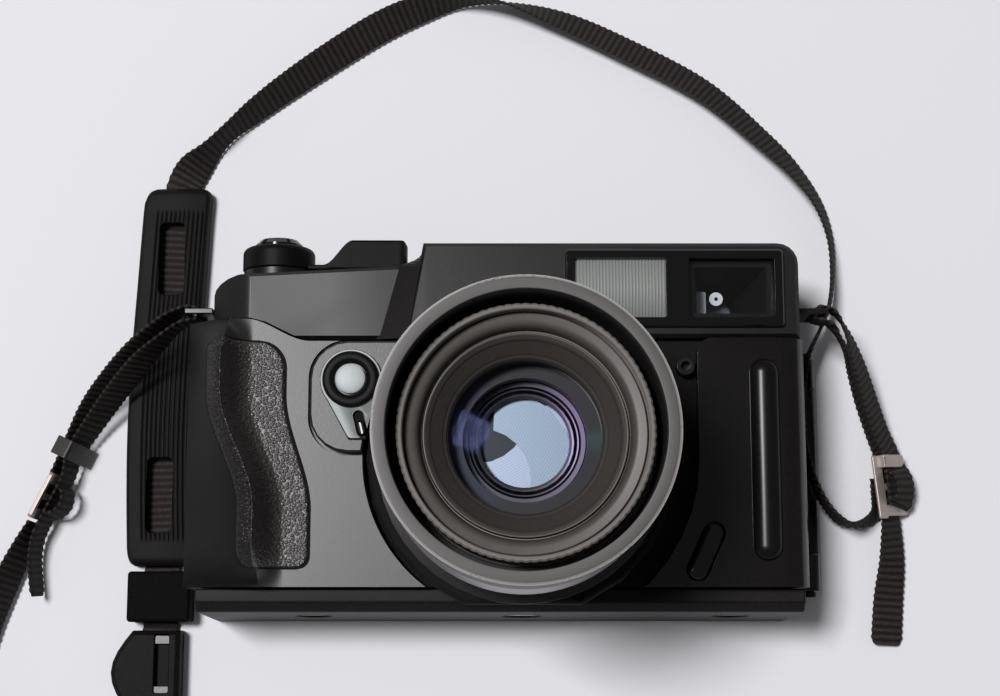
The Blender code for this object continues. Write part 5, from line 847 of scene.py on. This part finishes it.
tear = arc(centre, boss["radius"], -20, 220, 60) + roundCorners([
    (left - 0.0026, low + 0.0052), (left, low), (left + boss["tailWidth"], low),
    (left + boss["tailWidth"] + 0.0018, low + 0.0052)], 0.0012)[6:18]
face = [(x, y) for x, y in inset(tear, boss["margin"])]
tearFace = newObject("tearFace", prism(face, boss["top"] - 0.0003, boss["top"] + 0.00004), satinFace)
carve(tearFace, prism(stadium(lock["place"], 0.0090, 0.0040, 14), 0.0, 0.1))
carve(tearFace, prism(arc((0, 0), 0.0489, 0, 360, 96)[:-1], 0.0, 0.1))
attach(tearFace, "release_plate")
dress("release_plate", gripBlack, 0.0005)
dress("release_lock", collarBlack, 0.0002)
low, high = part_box("release_lock")
# a matt black sheet at the floor of the lock's slot: painted shade
addDetail("lockSlotShade", prism(stadium(lock["place"], 0.0089, 0.0039, 14), low[2] - 0.0003, low[2] - 0.0001), matBlack,
          "release_plate")
mark = stadium(((low[0] + high[0]) / 2, (low[1] + high[1]) / 2), 0.0036, 0.0005, 14)
addDetail("lockMark", prism(mark, high[2] - 0.0002, high[2] + 0.00005), whitePaint, "release_lock")
print("release set")


# right cover: half-round finger rib, oblong button in its well
low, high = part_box("right_cover")
rib = {"x": 0.0744, "low": -0.0313, "high": 0.0305, "width": 0.0090, "rise": 0.00335, "front": 0.0520}
outline = stadium((rib["x"], (rib["low"] + rib["high"]) / 2), rib["high"] - rib["low"] + 0.0003, rib["width"], 0)
layers = [(outline, rib["front"] - 0.0004)]
for i in range(13):
    turn = math.pi / 2 * i / 12
    layers.append((inset(outline, rib["width"] * 0.492 * (1 - math.cos(turn))), rib["front"] + rib["rise"] * math.sin(turn)))
addDetail("fingerRib", loft([[(x, y, z) for x, y in line] for line, z in layers]), leverBlack, "right_cover", 60)
low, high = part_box("oblong_button")
oblong = {"x": 0.0556, "y": -0.0286, "length": 0.0183, "width": 0.0061, "tilt": -25, "low": low[2] + 0.0003, "high": high[2]}
outline = stadium((oblong["x"], oblong["y"]), oblong["length"], oblong["width"], oblong["tilt"])
addPiece("oblongButton", domedSlab(outline, oblong["low"], oblong["high"], 0.0016), glossBlack, "oblong_button")
print("right cover set")


# finder: ribbed frosted window, clear window with the sight mask, and inside it a painted reflection (a round white
# spot with a black dot) and a painted pale patch of light
low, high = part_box("illumination_window")
ribbed = {"count": 28, "left": 0.0161, "right": 0.0447, "low": 0.0436, "high": 0.0624}
pitch = (ribbed["right"] - ribbed["left"]) / ribbed["count"]
ribs = {"Count": ribbed["count"], "Pitch": pitch, "Rib": pitch * 0.42, "Length": ribbed["high"] - ribbed["low"],
        "Start": (ribbed["left"] + pitch / 2, (ribbed["low"] + ribbed["high"]) / 2, high[2]), "Material": frosted}
grow("windowRibs", ribGroup, ribs, "illumination_window")
sight = {"outer": (0.0530, 0.0448, 0.0773, 0.0612), "inner": (0.0547, 0.0464, 0.0757, 0.0597), "z": 0.0400,
         "spot": (0.0628, 0.0536, 0.0300)}
(a, b, c, d), (e, f, g, h) = sight["outer"], sight["inner"]
mask = newObject("sightMask", prism(roundCorners([(a, b), (c, b), (c, d), (a, d)], 0.0006), sight["z"] - 0.001, sight["z"]),
                 greyPaint)
carve(mask, prism(roundCorners([(e, f), (g, f), (g, h), (e, h)], 0.0006), 0.0, 0.1))
attach(mask, "finder_tunnel")
# a white disc with a black dot deep in the tunnel: a painted reflection
x, y, z = sight["spot"]
addDetail("sightReflectedSpot", spin([(0, z - 0.0004), (0.0022, z - 0.0004), (0.0022, z), (0, z)], 48, (x, y)), whitePaint,
          "finder_tunnel")
addDetail("sightReflectedDot", spin([(0, z), (0.0006, z), (0.0006, z + 0.0002), (0, z + 0.0002)], 32, (x, y)), matBlack,
          "finder_tunnel")
# a white plate low in the tunnel: a painted pale patch of light
pane = [(0.0553, 0.0466), (0.0595, 0.0466), (0.0595, 0.0560), (0.0553, 0.0560)]
addDetail("sightPaintedGlow", prism(roundCorners(pane, 0.0008), 0.0296, 0.0300), whitePaint, "finder_tunnel")
print("finder set")


def angleTinted(name, stops, roughness, metallic):  # colour by the angle round the lens axis: painted coloured reflections of the coating
    material, tree, shader = newMaterial(name, stops[0][1], Roughness=roughness, Metallic=metallic)
    place = addNode(tree, "ShaderNodeTexCoord")
    apart = addNode(tree, "ShaderNodeSeparateXYZ", None, {0: place.outputs["Object"]})
    turn = addNode(tree, "ShaderNodeMath", None, {0: apart.outputs["Y"], 1: apart.outputs["X"]}, operation="ARCTAN2")
    share = addNode(tree, "ShaderNodeMapRange", {"From Min": -math.pi, "From Max": math.pi},
                    {"Value": turn.outputs[0]})
    ramp = addNode(tree, "ShaderNodeValToRGB", None, {0: share.outputs[0]})
    while len(ramp.color_ramp.elements) > 1:
        ramp.color_ramp.elements.remove(ramp.color_ramp.elements[-1])
    for i, (angle, colour) in enumerate(stops):
        place = (angle + 180) / 360
        stop = ramp.color_ramp.elements[0] if i == 0 else ramp.color_ramp.elements.new(place)
        stop.position = place
        stop.color = linear(colour)
    tree.links.new(ramp.outputs["Color"], shader.inputs["Base Color"])
    return material


hoodMetal = wornEdge("wornAnodised", "#1b1918", "#474341", "#e8e4e0", 0.0413, 0.1290)  # rubbed bright at the edge
rimMetal = grained("greyAnodised", "#6a6562", "#757069", 0.0005, 0.55, 0.000004, Specular_IOR_Level=0.3)
ringMetal = grained("satinAnodised", "#48433f", "#504b47", 0.0005, 0.42, 0.000003, Specular_IOR_Level=0.35)  # satin grey
paleSleeve = grained("satinLacquerTableReflection", "#8d888d", "#979297", 0.0006, 0.30, 0.000003, Specular_IOR_Level=0.5)  # cool pale grey: satin, and partly a painted reflection of the pale table
coneBlack = grained("blackBaffle", "#2a2522", "#332e2a", 0.0004, 0.70, 0.00001)  # matt cone round the glass
reflectionTint = angleTinted("paintedCoatingReflection", ((-180, "#1a1e33"), (-118, "#181b2c"), (-108, "#181411"), (-40, "#181411"),
                                     (-14, "#181411"), (2, "#153a30"), (10, "#181411"), (52, "#1d1417"), (62, "#181411"),
                                     (122, "#181411"), (134, "#1e1b34"), (180, "#1a1e33")), 0.6, 0.0)  # painted reflections: blue left, green right
# inner mount: grey with a painted mauve reflection on the right
mountReflection = angleTinted("paintedMountReflection", ((-180, "#4d4c52"), (-90, "#57534f"), (-20, "#8a7a8c"), (30, "#8f7690"),
                                        (70, "#5b5156"), (120, "#3c3a3c"), (180, "#4d4c52")), 0.4, 0.3)

# lens: hood with its worn edge, knurled barrel rim with the filter thread, dished front ring, baffle cone, glass
low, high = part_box("lens_hood")
hood = {"outer": high[0], "inner": 0.0374, "bore": 0.0353, "low": low[2], "high": high[2], "lip": 0.0030}
profile = [(hood["bore"], hood["low"]), (hood["outer"], hood["low"]), (hood["outer"], hood["high"] - 0.0006),
           (hood["outer"] - 0.0008, hood["high"]), (hood["inner"], hood["high"]), (hood["inner"], hood["low"] + hood["lip"]),
           (hood["bore"], hood["low"] + hood["lip"])]
addPiece("lensHood", spin(roundCorners(profile, 0.0003, 4), 240), hoodMetal, "lens_hood", 60)

low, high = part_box("lens_barrel")
barrel = {"tube": high[0], "low": low[2], "tubeTop": 0.0962, "rim": 0.0350, "front": high[2], "filter": 0.0333,
          "seat": 0.1125, "cell": 0.0283, "cellSeat": 0.1070, "glass": 0.0219, "glassSeat": 0.0997, "inner": 0.0175,
          "shelf": 0.0936, "case": 0.0303, "thread": 0.00075, "knurls": 90}
thread = []
z = barrel["front"] - 0.0010
while z > barrel["seat"] + 0.0018:
    thread += [(barrel["filter"], z), (barrel["filter"] + 0.0004, z - barrel["thread"] / 2)]
    z -= barrel["thread"]
profile = [(barrel["tube"], barrel["low"]), (barrel["tube"], barrel["tubeTop"]), (barrel["rim"] - 0.0004, barrel["tubeTop"]),
           (barrel["rim"] - 0.0004, 0.1165), (barrel["rim"], 0.1169), (barrel["rim"], barrel["front"] - 0.0005),
           (barrel["rim"] - 0.0005, barrel["front"]), (barrel["filter"] + 0.0003, barrel["front"]),
           (barrel["filter"], barrel["front"] - 0.0004)] + thread
profile += [(barrel["filter"], barrel["seat"]), (barrel["cell"], barrel["seat"]), (barrel["cell"], barrel["cellSeat"]),
            (barrel["glass"], barrel["cellSeat"]), (barrel["glass"], barrel["glassSeat"]),
            (barrel["inner"], barrel["glassSeat"]), (barrel["inner"], barrel["shelf"]), (barrel["case"], barrel["shelf"]),
            (barrel["case"], barrel["low"])]
shell = spin(profile, 360)
for vertex in shell.verts:
    radius = math.hypot(vertex.co.x, vertex.co.y)
    if radius > barrel["rim"] - 0.0006 and vertex.co.z > 0.1160:
        turn = math.atan2(vertex.co.y, vertex.co.x)
        vertex.co.xy *= 1 - 0.007 * (0.5 + 0.5 * math.cos(turn * barrel["knurls"])) ** 2
addPiece("lensBarrel", shell, rimMetal, "lens_barrel")
# a thin ring at the glass seat that carries the painted reflections
reflectionRing = [(barrel["inner"], barrel["glassSeat"]), (barrel["glass"] - 0.0004, barrel["glassSeat"]),
             (barrel["glass"] - 0.0004, barrel["glassSeat"] + 0.0002), (barrel["inner"], barrel["glassSeat"] + 0.0002)]
addDetail("paintedReflectionStep", spin(reflectionRing), reflectionTint, "lens_barrel")

low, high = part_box("front_ring")
dish = {"outer": high[0], "inner": 0.0286, "low": low[2], "high": high[2], "fall": 0.0030}
slope = [(dish["outer"] - 0.0003 - (dish["outer"] - dish["inner"] - 0.0005) * t,
          dish["high"] - dish["fall"] * (0.20 * t + 0.80 * t ** 7)) for t in [i / 24 for i in range(25)]]
profile = [(dish["inner"], dish["low"]), (dish["outer"], dish["low"]), (dish["outer"], dish["high"] - 0.0002)] + slope
addPiece("frontRing", spin(profile), ringMetal, "front_ring")

low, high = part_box("front_retainer")
cone = {"outer": high[0], "inner": 0.0212, "low": low[2], "high": high[2]}
profile = [(cone["inner"], cone["low"]), (cone["outer"], cone["low"]), (cone["outer"], cone["high"] - 0.0006),
           (cone["outer"] - 0.0012, cone["high"] - 0.0009), (0.0262, cone["high"] - 0.0014), (0.0260, cone["high"] - 0.0019),
           (0.0228, cone["low"] + 0.0021), (0.0226, cone["low"] + 0.0017), (0.0218, cone["low"] + 0.0012)]
addPiece("frontRetainer", spin(profile), coneBlack, "front_retainer", 20)
profile = [(cone["outer"] - 0.0009, cone["high"] - 0.0012), (cone["outer"], cone["high"] - 0.0012), (cone["outer"], cone["high"]),
           (cone["outer"] - 0.0004, cone["high"]), (cone["outer"] - 0.0009, cone["high"] - 0.0004)]
addDetail("retainerRim", spin(roundCorners(profile, 0.0001, 2)), ringMetal, "front_retainer")


def lensElement(radius, low, high, front, back, steps=14):  # glass with bulging or hollow faces
    shares = [i / steps for i in range(steps + 1)]
    under = [(radius * t, low - back * (1 - t * t)) for t in shares]
    over = [(radius * t, high + front * (1 - t * t)) for t in shares[::-1]]
    return spin(under + over, 128)


low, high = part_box("front_element")
addPiece("frontElement", lensElement(high[0], low[2], high[2] - 0.0024, 0.0024, 0.0), frontGlass, "front_element")
low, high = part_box("inner_element")
addPiece("innerElement", lensElement(high[0], low[2], high[2], -0.0003, 0.0), innerGlass, "inner_element")

case = {"front": 0.0932, "mount": 0.0172, "pupil": 0.0127, "bore": 0.0140}
profile = [(case["mount"], case["front"]), (case["mount"], case["front"] + 0.0003), (0.0160, case["front"] + 0.0003),
           (0.0158, case["front"] - 0.0002), (0.0155, case["front"] - 0.0002), (0.0153, case["front"] + 0.0001),
           (0.0134, case["front"] - 0.0004), (case["pupil"], case["front"] - 0.0010), (case["pupil"], case["front"] - 0.0014),
           (case["bore"], case["front"] - 0.0014), (case["bore"], case["front"])]
# the inner mount with its painted reflection
addDetail("pupilMount", spin(profile), mountReflection, "shutter_case", 20)
dress("shutter_case", matBlack, 0.0)


def brushedSteel(name, pale, dark, turn):  # fine parallel polishing lines
    material, tree, shader = newMaterial(name, pale, Roughness=0.38, Metallic=0.45)
    place = addNode(tree, "ShaderNodeTexCoord")
    turned = addNode(tree, "ShaderNodeMapping", {"Rotation": (0, 0, math.radians(turn))},
                     {"Vector": place.outputs["Object"]})
    lines = addNode(tree, "ShaderNodeTexWave", {"Scale": 420.0, "Distortion": 1.2, "Detail": 2.0},
                    {"Vector": turned.outputs[0]})
    tone = addNode(tree, "ShaderNodeMix", {6: linear(pale), 7: linear(dark)}, {0: lines.outputs["Fac"]},
                   data_type="RGBA")
    tree.links.new(tone.outputs[2], shader.inputs["Base Color"])
    return material


# each blade is the same steel in its own tone, pale, blue or dark: painted reflection and shade seen through the glass
paintedBladeTones = {"shutter_blade_1": ("#b3bdc4", "#a3acb2", 30), "shutter_blade_2": ("#567b98", "#4b6e8b", 95),
          "shutter_blade_3": ("#333636", "#2b2d2d", 20), "shutter_blade_4": ("#bcc3cb", "#adb4bd", 60),
          "shutter_blade_5": ("#a9b5ba", "#99a5aa", 30)}
for node, (pale, dark, turn) in paintedBladeTones.items():
    dress(node, brushedSteel("springSteelPaintedTone" + node[-1], pale, dark, turn), 0.0)
# focus ring sleeve: its pale grey is partly a painted reflection of the table
low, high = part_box("focus_ring")
sleeve = {"outer": high[0] - 0.0001, "inner": 0.0372, "low": low[2], "high": high[2], "taper": 0.0024}
profile = [(sleeve["inner"], sleeve["low"]), (sleeve["outer"], sleeve["low"]), (sleeve["outer"], sleeve["low"] + 0.003),
           (sleeve["outer"] - sleeve["taper"], sleeve["high"]), (sleeve["inner"], sleeve["high"])]
addPiece("focusRing", spin(profile, 240), paleSleeve, "focus_ring")
print("lens made")

dressed = {
    "base_cover": (baseBlack, 0.0008), "right_cover": (panelBlack, 0.0008),
    "back_door": (coverBlack, 0.0008), "door_latch": (coverBlack, 0.0003), "lens_plate": (matBlack, 0.0006),
    "window_frame": (glossBlack, 0.0003), "illumination_window": (frosted, 0.0002),
    "viewfinder_window": (clearGlass, 0.0), "finder_tunnel": (matBlack, 0.0), "eyepiece_lens": (clearGlass, 0.0),
    "top_release_button": (glossBlack, 0.0), "sync_terminal": (blackSteel, 0.0002),
    "hot_shoe": (steel, 0.0001), "tripod_socket": (steel, 0.0002), "hinge_pin": (blackSteel, 0.0002),
    "strap_lug_left": (blackSteel, 0.0003), "strap_lug_right": (blackSteel, 0.0003), "chassis": (matBlack, 0.0),
    "pressure_plate": (anodised, 0.0), "film_roller_left": (steel, 0.0), "film_roller_right": (steel, 0.0),
    "take_up_spool": (glossBlack, 0.0), "take_up_key": (steel, 0.0), "spool_knob_left": (gunmetal, 0.0002),
    "spool_knob_right": (gunmetal, 0.0002), "helicoid_base": (anodised, 0.0003), 
    "shutter_speed_ring": (anodised, 0.0), "aperture_ring": (anodised, 0.0), "rear_element": (innerGlass, 0.0), "slider_right": (nickel, 0.0003), "slider_left": (nickel, 0.0003),
    "keeper_left": (dullPlate, 0.0020)}
for node, (material, edge) in dressed.items():
    dress(node, material, edge)
print("solids dressed")

# advance lever: round hub, thin arm that sweeps up to a flat tip
low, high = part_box("advance_lever")
lever = {"axis": (-0.0785, 0.0300), "end": (-0.0372, 0.0345), "under": 0.0622, "hub": 0.0116, "hubTop": 0.0698,
         "bore": 0.0082, "well": 0.0664, "arm": 0.0016, "tip": 0.0098, "width": 0.0095, "start": 0.0100,
         "rise": (0.0152, 0.0246), "corner": 0.0014}
rim = [(lever["hub"] - 0.0022 + 0.0022 * math.cos(t), lever["hubTop"] - 0.0022 + 0.0022 * math.sin(t))
       for t in [math.pi / 2 * i / 8 for i in range(9)]]
profile = [(0, low[1]), (0.0036, low[1]), (0.0036, lever["under"]), (lever["hub"] - 0.0004, lever["under"]),
           (lever["hub"], lever["under"] + 0.0004)] + rim + [(lever["bore"], lever["hubTop"]),
                                                            (lever["bore"], lever["well"]), (0, lever["well"])]
hubMesh = spin(profile, 96, lever["axis"], "y")
along = Vector(lever["end"]) - Vector(lever["axis"])
heading = along.normalized()
sideways = Vector((-heading.y, heading.x))
sections = []
for i in range(49):
    reach = lever["start"] + (along.length - lever["start"]) * min(1.0, i / 44)
    left = along.length - reach
    top = lever["arm"] + (lever["tip"] - lever["arm"]) * smooth((reach - lever["rise"][0]) / (lever["rise"][1] - lever["rise"][0]))
    half = lever["width"] / 2
    if left < lever["corner"]:
        bend = 1 - math.sqrt(max(0.0, 1 - (1 - left / lever["corner"]) ** 2))
        top, half = top - lever["corner"] * bend, half - lever["corner"] * bend
    front = half - 0.12 * (reach - lever["start"])
    ring = roundCorners([(-half, 0.0), (front, 0.0), (front, top), (-half, top)], min(0.0010, top * 0.3), 3)
    middle = Vector(lever["axis"]) + heading * reach
    sections.append([(middle.x + sideways.x * a, lever["under"] + b, middle.y + sideways.y * a) for a, b in ring])
    if i >= 44:
        break
armMesh = newObject("leverArm", loft(sections), leverDull)
hubMesh.from_mesh(armMesh.data)
bpy.data.objects.remove(armMesh)
attach(soften(newObject("advanceLever", hubMesh, leverDull), 0.0), "advance_lever", "advance_lever")

# top cover: the CAD solid with its left end sloped off, and a seat under the lever's hub
end = {"x": -0.0980, "wide": 0.0128, "front": 0.0465, "deep": 0.0090, "bend": 1.5,
       "fill": ((-0.0970, 0.0450), (-0.0838, 0.0450), (-0.0838, 0.0580), (-0.0862, 0.0580), (-0.0900, 0.0577),
                (-0.0940, 0.0567), (-0.0970, 0.0546))}
turn = [(end["x"] + end["wide"] * (1 - t), end["front"] - end["deep"] * t ** end["bend"])
        for t in [(i / 20) ** 2 for i in range(21)]]
topCover = copyOf("top_cover", "topCover", deckBlack)
carve(topCover, prism(end["fill"], 0.0300, 0.0462), "UNION")
seat = spin([(0, 0.0570), (0.0112, 0.0570), (0.0112, lever["under"] - 0.0002), (0.0045, lever["under"] - 0.0002),
             (0.0045, 0.0571), (0, 0.0571)], 72, lever["axis"], "y")
addDetail("leverSeat", seat, coverBlack, "top_cover")
off = turn + [(end["x"] - 0.001, end["front"] - end["deep"]), (end["x"] - 0.001, end["front"] + 0.001),
              (end["x"] + end["wide"], end["front"] + 0.001)]
carve(topCover, prism(off, 0.02, 0.09, "xz"))
attach(soften(topCover, 0.0013), "top_cover", "top_cover")
ramp = {"low": (0.0376, -0.0456, -0.0358), "high": (0.0606, -0.0392, -0.0318), "back": 0.0462, "front": 0.0499}
addDetail("rampFace", loft([[(foot, y, ramp["back"]), (head, y, ramp["front"]), (head, y, ramp["back"])]
                            for y, foot, head in [Vector(ramp["low"]).lerp(Vector(ramp["high"]), i / 16)
                                                  for i in range(17)]]), baseBlack, "top_cover")
print("lever and top cover set")
